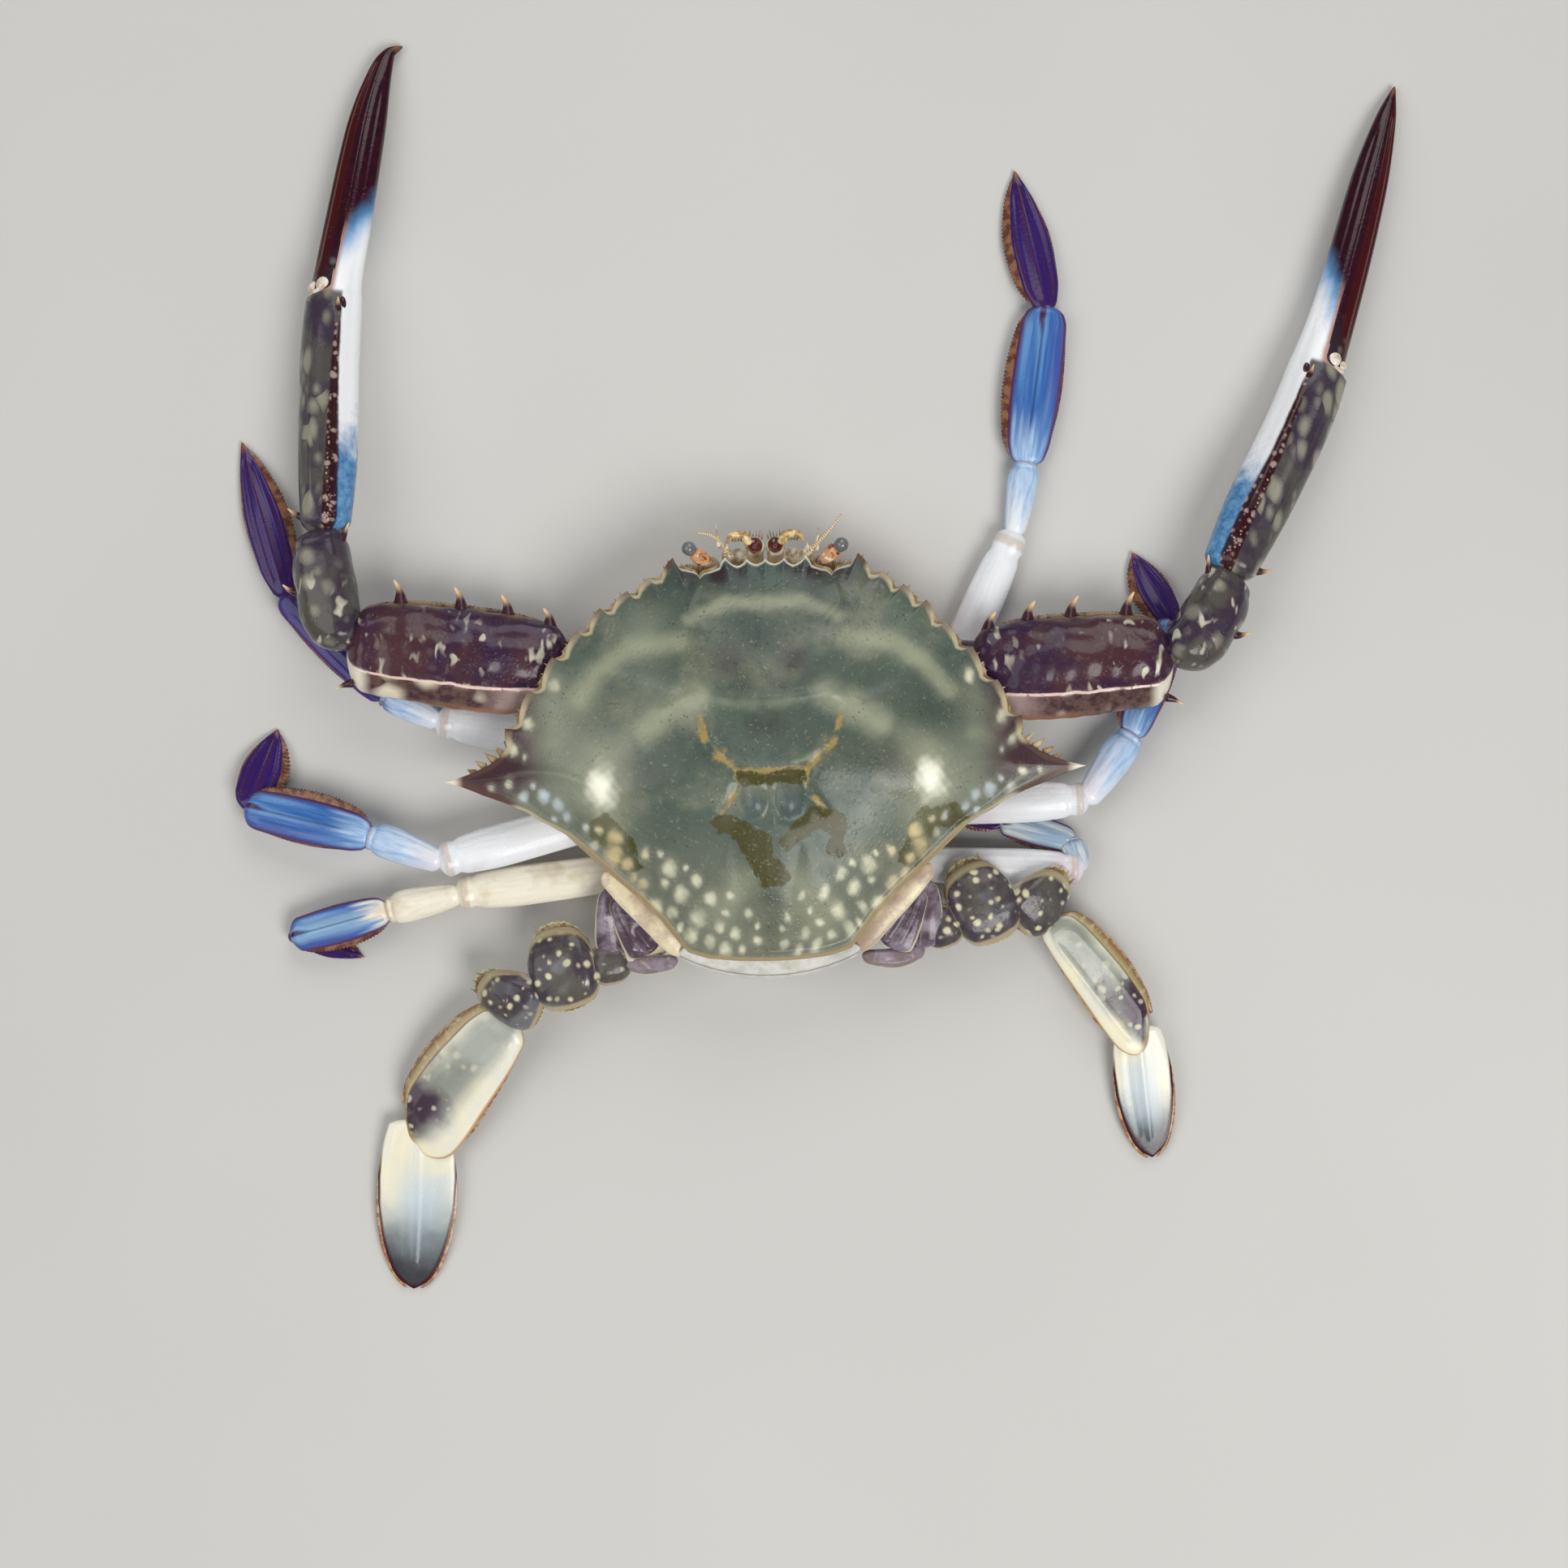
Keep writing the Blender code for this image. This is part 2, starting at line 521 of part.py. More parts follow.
def build_leg(name, side, root, stub, rows):
    """Merus, carpus, propodus and dactylus of a walking leg, mitred at their joints."""
    start = Vector(root)
    seat = halfway(stub[1:], rows[0][1:3])
    for k, (piece, shape) in enumerate(LEG_PIECES):
        length, heading, climb, half, thick = rows[k]
        along = aim(heading, climb)[0]
        tucked = name in FOLDED and piece == "dactylus"
        if tucked:
            start = start + Vector((0.0, 0.0, -thick - 2.4))
            seat = along
        far = along
        if k + 1 < len(rows) and not (name in FOLDED and piece == "propodus"):
            far = halfway((heading, climb), rows[k + 1][1:3])
        rings, start = limb_rings(start, ((length, heading, climb),), scaled(shape, half, thick),
                                  (seat, far), LEG_SIDES, 1.15)
        closed_object(f"{name}_{piece}", "leg", rings, side=side)
        seat = far


def build_arm(side):
    """Ischium, merus, carpus, propodus and dactylus of one claw-bearing arm."""
    pose = ARM_POSES[side]
    name = f"{side}_arm"
    first = halfway(ARM_COXA[1:], pose["ischium"][1:])
    elbow = halfway(pose["ischium"][1:], pose["merus"][1:])
    wrist, knuckle = seat_normal(pose["wrist_seat"]), seat_normal(pose["palm_seat"])
    rings, end = limb_rings(ARM_ROOT, (pose["ischium"],), ARM_ISCHIUM, (first, elbow), ARM_SIDES)
    closed_object(f"{name}_ischium", "arm", rings, side=side)
    rings, end = limb_rings(end, (pose["merus"],), ARM_MERUS, (elbow, wrist), ARM_SIDES, 1.1,
                            ARM_SPINES)
    closed_object(f"{name}_merus", "arm", rings, side=side)
    rings, end = limb_rings(end, (pose["carpus"],), ARM_CARPUS, (wrist, knuckle), ARM_SIDES, 1.0,
                            CARPUS_SPINE)
    closed_object(f"{name}_carpus", "arm", rings, side=side)
    build_claw(side, end, knuckle, pose)


def build_claw(side, start, knuckle, pose):
    """The palm with its fixed finger, and the free finger on its outer edge."""
    palm, fingers = pose["palm"], pose["fingers"]
    reach_all = palm[0] + sum(leg[0] for leg in fingers)
    hinge = palm[0] / reach_all
    half = pose["palm_half"]
    taper = half * PALM_TAPER
    stations = [(0, taper * 1.15, taper * 0.9, PALM_UP * 0.8, PALM_DOWN * 0.8),
                (hinge * 0.35, half * 1.08, half * 0.93, PALM_UP * 0.95, PALM_DOWN * 0.95),
                (hinge * 0.75, half, half, PALM_UP, PALM_DOWN),
                (hinge * 0.985, half * 0.97, half * 0.93, PALM_UP * 0.85, PALM_DOWN * 0.85)]
    finger = []
    for place, width, thick in FINGER_SHAPE:
        spot = hinge + (1.0 - hinge) * place
        finger.append((spot, pose["finger_half"] * width, PALM_UP * thick, PALM_DOWN * thick))
    fixed = stations + [(spot, width, 0.0, up, down) for spot, width, up, down in finger]
    rings, _tip = limb_rings(start, (palm, *fingers), fixed, (knuckle, None), ARM_SIDES, 0.95,
                             PALM_SPINE)
    closed_object(f"{side}_arm_propodus", "arm", rings, side=side)
    along = aim(palm[1], palm[2])[0]
    joint = start + along * (palm[0] + GAP)
    free = [(place, 0.0, pose["finger_half"] * width, PALM_UP * thick, PALM_DOWN * thick)
            for place, width, thick in FINGER_SHAPE]
    rings, _tip = limb_rings(joint, fingers, free, (along, None), ARM_SIDES, 0.95, shift=-GAP)
    closed_object(f"{side}_arm_dactylus", "arm", rings, side=side)


def paddle_stations(half):
    """An oval blade, thin at its rim: half-widths follow an ellipse."""
    rows = [(0, half * 0.72, half * 0.72, 1.3, 1.1)]
    for k in range(1, PADDLE_STATIONS + 1):
        place = k / PADDLE_STATIONS
        across = half * math.sqrt(max(1.0 - ((place - 0.42) / 0.585) ** 2, 0.0))
        thick = 1.3 - 0.8 * place
        rows.append((place, across, across, thick, thick))
    return tuple(rows)


def build_swimming_leg(side):
    pose = SWIM_POSES[side]
    name = f"{side}_swim"
    fore, aft = pose["propodus_half"]
    shapes = {
        "base": SWIM_BASE, "merus": SWIM_MERUS, "carpus": SWIM_CARPUS,
        "propodus": tuple((p, a * fore, b * aft, u, d) for p, a, b, u, d in SWIM_PROPODUS),
        "paddle": paddle_stations(pose["paddle_half"]),
    }
    start = Vector(pose["root"])
    pieces = list(shapes)
    seat = halfway(SWIM_COXA[1:], pose["base"][1:])
    for k, piece in enumerate(pieces):
        row = pose[piece]
        far = aim(*row[1:])[0]
        if k + 1 < len(pieces):
            following = pieces[k + 1]
            wanted = pose["seats"].get(following)
            far = (seat_normal(wanted) if wanted is not None
                   else halfway(row[1:], pose[following][1:]))
        rings, start = limb_rings(start, (row,), shapes[piece], (seat, far), SWIM_SIDES, 1.1)
        kind = "paddle" if piece in ("propodus", "paddle") else "swim"
        closed_object(f"{name}_{piece}", kind, rings, side=side)
        seat = far


# Head

def tube_rings(path, halves, count=8):
    """Round rings along a bent path, each square to it."""
    rings = []
    last = len(path) - 1
    for k, place in enumerate(path):
        along = (Vector(path[min(k + 1, last)]) - Vector(path[max(k - 1, 0)])).normalized()
        across = along.cross(Vector((0.0, 0.0, 1.0))).normalized()
        lift = across.cross(along)
        rings.append([Vector(place) + across * a + lift * b
                      for a, b in section(halves[k], halves[k], halves[k], halves[k], count, 1.0)])
    return rings


def build_eye(side):
    """A round eye on a short stalk that reaches out of the orbit."""
    centre = Vector(EYE_PLACE)
    root = Vector(STALK_ROOT)
    along = (centre - root).normalized()
    stalk_end = centre - along * (EYE_RADIUS + GAP)
    stalk = tube_rings((root, root.lerp(stalk_end, 0.5), stalk_end), STALK_HALF)
    closed_object(f"{side}_eyestalk", "amber", stalk, side=side)
    steps = (-0.9, -0.5, 0.0, 0.5, 0.9)
    path = [centre + along * EYE_RADIUS * s for s in steps]
    halves = [EYE_RADIUS * math.sqrt(1.0 - s * s) for s in steps]
    closed_object(f"{side}_eye", "eye", tube_rings(path, halves), side=side)


def build_head(side):
    build_eye(side)
    closed_object(f"{side}_antenna", "cream", tube_rings(FEELERS[side], FEELER_HALF), side=side)
    small = tube_rings(SMALL_FEELER, SMALL_FEELER_HALF)
    closed_object(f"{side}_antennule", "cream", small, side=side)
    closed_object(f"{side}_maxilliped", "cream", jaw_rings(), side=side)


def centre_on_floor():
    """Move everything so that the middle of its box stands over the origin."""
    corners = [v.co for item in bpy.data.objects for v in item.data.vertices]
    middle_x = (min(c.x for c in corners) + max(c.x for c in corners)) / 2
    middle_y = (min(c.y for c in corners) + max(c.y for c in corners)) / 2
    floor = min(c.z for c in corners)
    for item in bpy.data.objects:
        item.location = (-middle_x, -middle_y, -floor)


def main():
    clear_scene()
    smooth = both_sides(smooth_margin())
    build_carapace(smooth)
    build_thorax(smooth)
    closed_object("abdomen", "cream", abdomen_rings())
    for side in ("left", "right"):
        build_head(side)
        build_arm(side)
        build_swimming_leg(side)
        for number, root in enumerate(LEG_ROOTS):
            name = f"{side}_leg_{number + 1}"
            build_leg(name, side, root, LEG_COXAE[number], LEG_POSES[name])
    centre_on_floor()


if __name__ == "__main__":
    main()
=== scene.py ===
"""Looks of the blue swimming crab: smooth shell surfaces, markings and finishes over its solids.

Every place is (out, ahead, up) in millimetres, as in the solids: out from the midline, ahead
towards the head, up from the floor. Headings are in degrees from straight ahead, growing outwards.
"""

import math

import bpy
import numpy as np
from bpy.props import FloatProperty, FloatVectorProperty, IntProperty, PointerProperty
from mathutils import Matrix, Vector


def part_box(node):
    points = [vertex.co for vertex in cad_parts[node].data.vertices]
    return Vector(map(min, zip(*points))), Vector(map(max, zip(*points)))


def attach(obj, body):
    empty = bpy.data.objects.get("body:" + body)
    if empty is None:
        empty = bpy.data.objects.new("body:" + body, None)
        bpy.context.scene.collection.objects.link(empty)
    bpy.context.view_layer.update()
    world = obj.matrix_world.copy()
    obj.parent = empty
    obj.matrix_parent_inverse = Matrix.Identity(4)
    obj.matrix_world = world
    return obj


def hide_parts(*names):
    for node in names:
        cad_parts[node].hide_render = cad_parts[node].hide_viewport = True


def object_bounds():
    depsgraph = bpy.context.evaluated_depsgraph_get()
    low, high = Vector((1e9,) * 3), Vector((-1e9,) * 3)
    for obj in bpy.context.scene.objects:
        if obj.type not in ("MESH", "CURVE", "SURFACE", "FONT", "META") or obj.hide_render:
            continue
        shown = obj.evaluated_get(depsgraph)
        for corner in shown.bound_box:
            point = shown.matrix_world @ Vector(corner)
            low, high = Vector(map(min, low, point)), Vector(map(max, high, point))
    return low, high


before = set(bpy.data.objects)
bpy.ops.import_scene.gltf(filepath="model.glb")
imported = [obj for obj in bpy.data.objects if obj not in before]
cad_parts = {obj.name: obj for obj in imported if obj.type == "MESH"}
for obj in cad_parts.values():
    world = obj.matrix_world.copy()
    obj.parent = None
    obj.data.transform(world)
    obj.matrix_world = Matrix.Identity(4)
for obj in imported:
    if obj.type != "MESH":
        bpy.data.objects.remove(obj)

bl_info = {
    "name": "Blue swimming crab",
    "version": (1, 0, 0),
    "blender": (4, 5, 0),
    "location": "3D View > Sidebar > Crab",
    "description": "Builds the shell, limbs, markings and stage of a life-size swimming crab",
    "category": "Object",
}

MM = 0.001
CAD_BOX = [np.array(corner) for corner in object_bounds()]
SIDES = ("left", "right")

# Carapace, as in the solids
REAR_EDGE = -52.1
CENTRE_AHEAD = 4
DOME_TOP, RIM_MIDDLE, RIM_DROP = 48, 31, 4
HALF_SPAN = 90
PARTING = 22
FRONT = ((0, 59.8), (2.6, 58.4), (5.2, 60), (7.9, 58), (11.2, 60.6), (12.8, 57.8),
         (17, 56.4), (18.4, 54.9), (19.8, 56.6), (23.6, 57.8))
TEETH = ((25.8, 60.9), (32.6, 55.6), (38.6, 52), (45.6, 47.5), (51.7, 41.1),
         (58.7, 34.2), (65.7, 24.7), (72.3, 14.5), (90, 0))
NOTCH_DEPTH, NOTCH_PLACE = 2.6, 0.27
SKIN_DROP = 0.7            # the top of the relief's base below the top of the solid
TEETH_START, TEETH_POWER = 0.88, 1.7
FOLLOW_START = 0.8         # share of a column from which it bends into the outline's direction
OUTLINE_BLUR, COLUMN_BLUR = (36, 12), (45, 20)
SPINE_NOTCH = ((71.9, 9.4), (77, 4.6))
REAR = ((79.3, -3.9), (72.6, -6.4), (67, -8.9), (56.2, -15.4), (45.3, -25.6), (36.3, -33.6),
        (29.9, -40.2), (25.4, -46), (22.6, -49.2), (17, -51), (8.5, -51.9))
FLANGE_SPINES = ((72.6, 10.4, 2.6, 35), (74.8, 9, 3, 42), (77.4, 7.4, 3.2, 50),
                 (80.4, 5.8, 2.4, 58), (83.2, 4, 1.8, 64))

# Markings of the back: spots are (out, ahead, radius), bands (line, width, strength), smudges
# and areas (out, ahead, reach, strength), and wet patches (line, reach)
PALE_SPOTS = (
    (71.4, -0.9, 1.5), (76.4, -2, 1.1), (67.4, -4.6, 1.7), (61.5, -4.8, 1.9), (64.6, -1.8, 1.1),
    (57.4, -7, 2), (55.2, -10.6, 1.6), (50.1, -13.8, 1.3), (46.4, -14.6, 1.2), (58.9, -11, 1),
    (41.8, -16.6, 2.4), (42.6, -21.6, 3), (38.9, -24.2, 1.9), (33.6, -21.2, 1.6), (48, -18.6, 1.4),
    (27, -25.4, 2.5), (34.6, -29.8, 1.8), (19.6, -29, 1.6), (24, -32.6, 2.3), (29.4, -21.6, 1),
    (15.8, -34, 2), (19.6, -39.6, 2.8), (26.6, -37.8, 1.8), (31.6, -36.4, 2.4), (28.4, -29.6, 1.3),
    (21.6, -44.4, 2.2), (9.2, -44, 1.6), (3.2, -46.2, 1.4), (12.2, -48.4, 2.1), (22.4, -25.6, 1.1),
    (10.2, -33.4, 1.3), (5.4, -38.6, 1.2), (13.6, -42, 1.4), (37.2, -27.6, 1.6), (16.4, -46.2, 1.7),
    (11.8, -38, 1.1), (24.6, -42, 1.4), (7.6, -48.6, 1.5), (35.4, -33.4, 1.2), (3, -42, 1),
    (58.2, 26.1, 2), (65.7, 15.6, 2), (69.8, 8.4, 1.6), (66.8, 6.1, 0.9))
PALE_BANDS = (
    (((1, 47.2), (10.4, 47.6), (20.5, 43.2)), 3, 0.8),
    (((23, 37), (36.5, 35.5), (45, 30), (51, 22)), 4, 0.75),
    (((17, 21.5), (22, 19), (32, 13)), 5.4, 0.85), (((44, 6), (38, 10)), 6, 0.45),
    (((47, -8), (42, -12)), 5, 0.45), (((2, 19), (12, 20)), 2.4, 0.45),
    (((8, -30), (14, -40)), 6, 0.5), (((58, 10), (66, 8)), 3, 0.4))
BRIGHT_PATCH = (45, -3, 4.8)
FRONT_LEAN = 1.7
MIDDLE = -2                # the middle of the back's grooves, out from the midline
GROOVE = (
    ((19.4, 16), (17.8, 9.4), (14.5, 5.2), (11.5, 3), (9.6, 0.8)),
    ((9.6, 0.8), (9, -2.2), (10.8, -6.2), (14, -10)), ((9.6, 0.8), (0, 0.8)),
    ((1.2, -4.5), (1, -8.4), (2.2, -11.6), (5, -12.8), (7.8, -11.6), (9, -8.4), (8.8, -4.5)))
DARK_SMUDGES = (
    (9, 31, 4.2, 0.8), (2, 13, 3.6, 0.5), (8, 57.5, 3.2, 0.9), (22, 55, 3.6, 0.8),
    (13.2, 55.8, 2.8, 1.5), (14, 52, 3, 0.4), (30, 50.5, 3, 0.3), (36, 2, 7, 0.35),
    (5, 24, 3.4, 0.35))
DEEP_AREAS = (
    (0.5, 39, 9, 1.2), (-47, 15, 9, 1), (-27, 6, 9, 0.6), (16, 6, 8, 0.6), (-16, -6, 8, 0.4),
    (-1, -34, 5, 0.7), (-1, -43, 3.5, 0.5), (-2, -12, 8, 0.35), (49, -11.5, 5, 0.7),
    (41.6, -15.5, 5.5, 0.6), (-46, -15, 7, 0.4))
PALE_AREAS = ((61, 18, 10, 1.5), (33, 39, 8, 1), (30, 22, 7, 0.5), (-60, 17, 7, 0.4),
              (-34, 38, 7, 0.4), (52, 0, 7, 0.5), (-50, 0, 7, 0.4))
WET_PATCHES = (
    (((11, -14), (7.9, -16), (3.3, -19.3), (0.8, -24), (-1.4, -28.8)), 3.9),
    (((-6, -19.3), (-9.4, -15.5), (-13.3, -12.9), (-19, -14), (-20, -17.5), (-18.5, -21)), 3.1),
    (((5, -1.4), (-9, -1.4)), 2.5), (((-53, -12), (-46, -13.5), (-41.5, -22)), 5.4),
    (((46, -13), (41, -17.5), (38, -24)), 3.9))

# Limbs, as in the solids: (length, heading, climb) and half-widths in millimetres
ARM_ROOT = (47, 30, 16.5)
LEG_ROOTS = ((45, 9, 7), (45, -10.5, 11.5), (42, -27, 9.5))
LEG_HEADINGS = (76, 92, 108)
LEG_PIECES = ("merus", "carpus", "propodus", "dactylus")
LEG_POSES = {
    "left_leg_1": ((49.5, 80, 0, 5.8, 3.3), (17.7, 63, -3, 4.2, 3.2), (40.7, 43, -2, 5.4, 2.6),
                   (46.5, 15, -4, 5.4, 1.8)),
    "left_leg_2": ((49.6, 104, 5, 6.2, 3.4), (21.8, 69, -5, 5, 3.3), (37.8, 76, -11, 6.4, 2.6),
                   (24.6, -20, -14, 5.6, 1.8)),
    "left_leg_3": ((46.9, 96, 2, 5.8, 3.3), (21.2, 102, -5, 4.9, 3.1), (29.1, 104, -8, 5.6, 2.4),
                   (20.6, -109, -2.5, 3.2, 1.2)),
    "right_leg_1": ((65.3, 26, -2, 5.8, 3.3), (20.6, 11, 0, 4.5, 3.1), (45, 9, -1, 7.2, 2.6),
                    (41.6, -11, -4, 5.6, 1.8)),
    "right_leg_2": ((46.3, 89, 2, 5.8, 3.4), (23.6, 38, -12, 5.2, 3.3), (35.3, 22, -6, 5.6, 2.4),
                    (23.3, -28, -7, 4.4, 1.6)),
    "right_leg_3": ((48, 93, -2, 5.4, 3), (8.6, -14, -11, 3.8, 2.4), (20.9, -73, -7, 4.4, 1.7),
                    (17.2, -77, -3, 3.4, 1.2)),
}
FOLDED_LEG = "left_leg_3"
FRINGE_SHARES = {"right_leg_3": 0.5, "left_leg_3": 0.7}
ARM_POSES = {
    "left": {"ischium": (8.3, 78, 3), "merus": (63.3, 83, 2), "carpus": (33.5, 10, -3),
             "palm": (68.8, -3, -7), "palm_half": 8.4, "finger_half": 6.8,
             "fingers": ((21.6, -12, -3), (40.5, -12, -5), (11.2, -21, -10), (4.2, -62, -8))},
    "right": {"ischium": (12, 99, 2), "merus": (58, 89, 2), "carpus": (29.4, 34, -4),
              "palm": (66.3, 26, -7), "palm_half": 9.2, "finger_half": 6.6,
              "fingers": ((31.6, 17, -2), (37.3, 17, -5), (17.2, 18, -10))},
}
ARM_SPINES = ((0.1, 4.5), (0.29, 5.5), (0.5, 6), (0.77, 6.5))
SWIM_POSES = {
    "left": {"root": (40.1, -52.3, 16), "base": (9.7, 95, 6), "merus": (18.3, 102, -3),
             "carpus": (14.5, 151, -16), "propodus": (41.2, 136, -10), "paddle": (49, 176, -4.5),
             "propodus_half": (11.6, 12.6), "paddle_half": 11.8},
    "right": {"root": (44.2, -46.9, 16), "base": (9.6, 67, 6), "merus": (18.1, 65, -3),
              "carpus": (14.7, 133, -16), "propodus": (40.9, 141, -8), "paddle": (38.3, 174, -7),
              "propodus_half": (9.6, 7.4), "paddle_half": 8.8},
}


def colour(name, description, *shares):
    """A colour setting with full cover."""
    return FloatVectorProperty(name=name, description=description, subtype="COLOR", size=4,
                               default=(*shares, 1))


class CrabSizes(bpy.types.PropertyGroup):
    """Sizes and colours of the crab that a user may want to change."""
    shell_columns: IntProperty(
        name="Carapace columns", description="Points round the carapace", default=620, min=120)
    granule_depth: FloatProperty(
        name="Granule depth", description="Height of the fine grains on the shell",
        default=0.00016, min=0.0, unit="LENGTH")
    region_relief: FloatProperty(
        name="Region relief", description="Strength of the swellings and grooves of the back",
        default=1.0, min=0.0, subtype="FACTOR")
    fringe_width: FloatProperty(
        name="Fringe width", description="Width of the hair fringe of the walking legs",
        default=0.0024, min=0.0005, unit="LENGTH")
    back_colour: colour("Back", "Grey-green of the back", 0.112, 0.150, 0.118)
    cream_colour: colour("Markings", "Cream of the spots and bands", 0.76, 0.75, 0.56)
    arm_colour: colour("Arms", "Deep purple of the arms", 0.038, 0.014, 0.046)
    leg_colour: colour("Leg blue", "Vivid blue of the walking legs", 0.035, 0.130, 0.42)
    finger_colour: colour("Fingers", "Dark maroon of the claw fingers", 0.022, 0.002, 0.007)
    light_power: FloatProperty(name="Light", description="Power of the main soft light",
                               default=15.0, min=0.0, unit="POWER")


def sizes():
    return bpy.context.scene.crab_sizes


# Surfaces

def unit(vectors):
    """Each vector divided by its length."""
    return vectors / np.linalg.norm(vectors, axis=-1, keepdims=True)


def bell(value, width):
    """1 at 0, falling off on both sides as e to the minus square of value over width."""
    return np.exp(-(value / width) ** 2)


def walked_along(corners):
    """Length walked up to each corner of a bent line."""
    return np.r_[0, np.cumsum(np.linalg.norm(np.diff(corners, axis=0), axis=1))]


def round_angles(count):
    return math.tau * np.arange(count)[None, :] / count


def eased(steps):
    """Places from 0 to 1, closer together near both ends."""
    return 0.5 - 0.5 * np.cos(np.pi * np.arange(steps + 1) / steps)


def smooth_through(places, values, at):
    """A smooth curve through rows of values, without overshoot.

    Each stretch is a cubic whose slope at a row is the harmonic mean of the slopes beside it,
    and 0 where those have opposite signs.
    """
    x = np.asarray(places, float)
    y = np.asarray(values, float).reshape(len(x), -1)
    step = np.diff(x)[:, None]
    rise = np.diff(y, axis=0) / step
    slope = np.zeros_like(y)
    product = rise[:-1] * rise[1:]
    total = rise[:-1] + rise[1:]
    slope[1:-1] = np.where(product > 0, 2 * product / np.where(total == 0, 1, total), 0)
    slope[0], slope[-1] = rise[0], rise[-1]
    at = np.clip(np.asarray(at, float), x[0], x[-1])
    k = np.clip(np.searchsorted(x, at, side="right") - 1, 0, len(x) - 2)
    t = ((at - x[k]) / np.diff(x)[k])[:, None]
    return (y[k] * (1 + 2 * t) * (1 - t) ** 2 + y[k + 1] * t * t * (3 - 2 * t)
            + step[k] * (slope[k] * t * (1 - t) ** 2 - slope[k + 1] * t * t * (1 - t)))


def averaged(padded, reach, width):
    """Each value averaged with its neighbours, up to reach steps away, under a bell curve."""
    weights = bell(np.arange(-reach, reach + 1), width)
    return np.convolve(padded, weights / weights.sum(), "valid")


def signed_power(value, power):
    """The size of the value raised to a power, with the value's sign."""
    return np.sign(value) * np.abs(value) ** power


def smooth_step(low, high, value):
    """0 below low, 1 above high, and a cubic rise between."""
    t = np.clip((value - low) / (high - low), 0, 1)
    return t * t * (3 - 2 * t)


def aim(heading, climb):
    """Unit vectors along, fore and up of a limb piece: fore is level, up is along x fore."""
    turn, rise = math.radians(heading), math.radians(climb)
    along = np.array([math.sin(turn) * math.cos(rise), math.cos(turn) * math.cos(rise),
                      math.sin(rise)])
    fore = np.array([-math.cos(turn), math.sin(turn), 0])
    return along, fore, np.cross(along, fore)


def corners_from(start, legs, reach=(0, 0)):
    """Corners of a bent line of straight legs, drawn out at both ends by reach."""
    corners = [np.asarray(start, float)]
    for length, heading, climb in legs:
        corners.append(corners[-1] + aim(heading, climb)[0] * length)
    corners[0] = corners[0] - aim(*legs[0][1:3])[0] * reach[0]
    corners[-1] = corners[-1] + aim(*legs[-1][1:3])[0] * reach[1]
    return np.array(corners)


def line_frame(corners, place):
    """Centre, along, fore and up of a smooth line through the corners at shares of its length."""
    walked = walked_along(corners)
    share = walked / walked[-1]
    centre, ahead, behind = (smooth_through(share, corners, place + step)
                             for step in (0, 0.004, -0.004))
    along = unit(ahead - behind)
    fore = unit(np.stack([-along[:, 1], along[:, 0], np.zeros(len(place))], 1))
    return centre, along, fore, np.cross(along, fore), walked[-1]


def full_rows(rows):
    """Rows of (place, fore, aft, up, down).

    A row may give one half-width for all four, or one across and one up and down.
    """
    return [(row[0], *(row[1:] if len(row) == 5 else (row[1], row[1], row[-1], row[-1])))
            for row in rows]


def section_at(rows, place):
    """Half-widths fore, aft, up and down at shares of a limb's length."""
    rows = full_rows(rows)
    return smooth_through([r[0] for r in rows], [r[1:] for r in rows], place)


def rounding(place, total, caps):
    """Share of full size near both ends: a quarter of an ellipse as long as each cap."""
    near = np.clip(place * total / caps[0], 0, 1)
    far = np.clip((1 - place) * total / caps[1], 0, 1)
    return np.sqrt(1 - (1 - near) ** 2) * np.sqrt(1 - (1 - far) ** 2)


def shell_along(corners, rows, caps=(2.5, 2.5), sides=44, steps=60, power=1, relief=None,
                lift=(0, 0), slant=(0, 0), fields=None):
    """A closed shell: rounded sections carried along a line, slanted by so much at its ends.

    At angle a the section's point is fore or aft half-width times cos a, and up or down height
    times sin a, each raised to the power; relief(place, a) stands out from it in millimetres.
    """
    place = eased(steps)
    centre, along, fore, up, total = line_frame(corners, place)
    shape = section_at(rows, place)
    angle = round_angles(sides)
    c, s = np.cos(angle), np.sin(angle)
    across_share, lift_share = signed_power(c, power), signed_power(s, power)
    across = across_share * np.where(c > 0, shape[:, 0:1], shape[:, 1:2])
    height = lift_share * np.where(s > 0, shape[:, 2:3], shape[:, 3:4])
    if relief is not None:
        stand = relief(place[:, None], angle)
        across = across + c * stand
        height = height + s * stand
    round_off = rounding(place, total, caps)[:, None]
    raised = (lift[0] + (lift[1] - lift[0]) * place)[:, None]
    slid = (slant[0] * (1 - place) ** 2 + slant[1] * place ** 2)[:, None] * across_share * round_off
    points = (centre[:, None] + (across * round_off)[..., None] * fore[:, None]
              + (height * round_off + raised)[..., None] * up[:, None] + slid[..., None]
              * along[:, None])
    ones = np.ones_like(across)
    found = {"along": place[:, None], "across": across_share, "height": lift_share,
             **(fields or {})}
    return closed_shell(points, {name: value * ones for name, value in found.items()})


def closed_shell(points, fields):
    """Rings of points, whose first and last ring shrink to the poles at their middles."""
    poles = np.stack([points[0].mean(0), points[-1].mean(0)])
    ends = {name: (value[0].mean(), value[-1].mean()) for name, value in fields.items()}
    inner = {name: value[1:-1] for name, value in fields.items()}
    return {"rings": points[1:-1], "poles": poles, "fields": inner, "ends": ends}


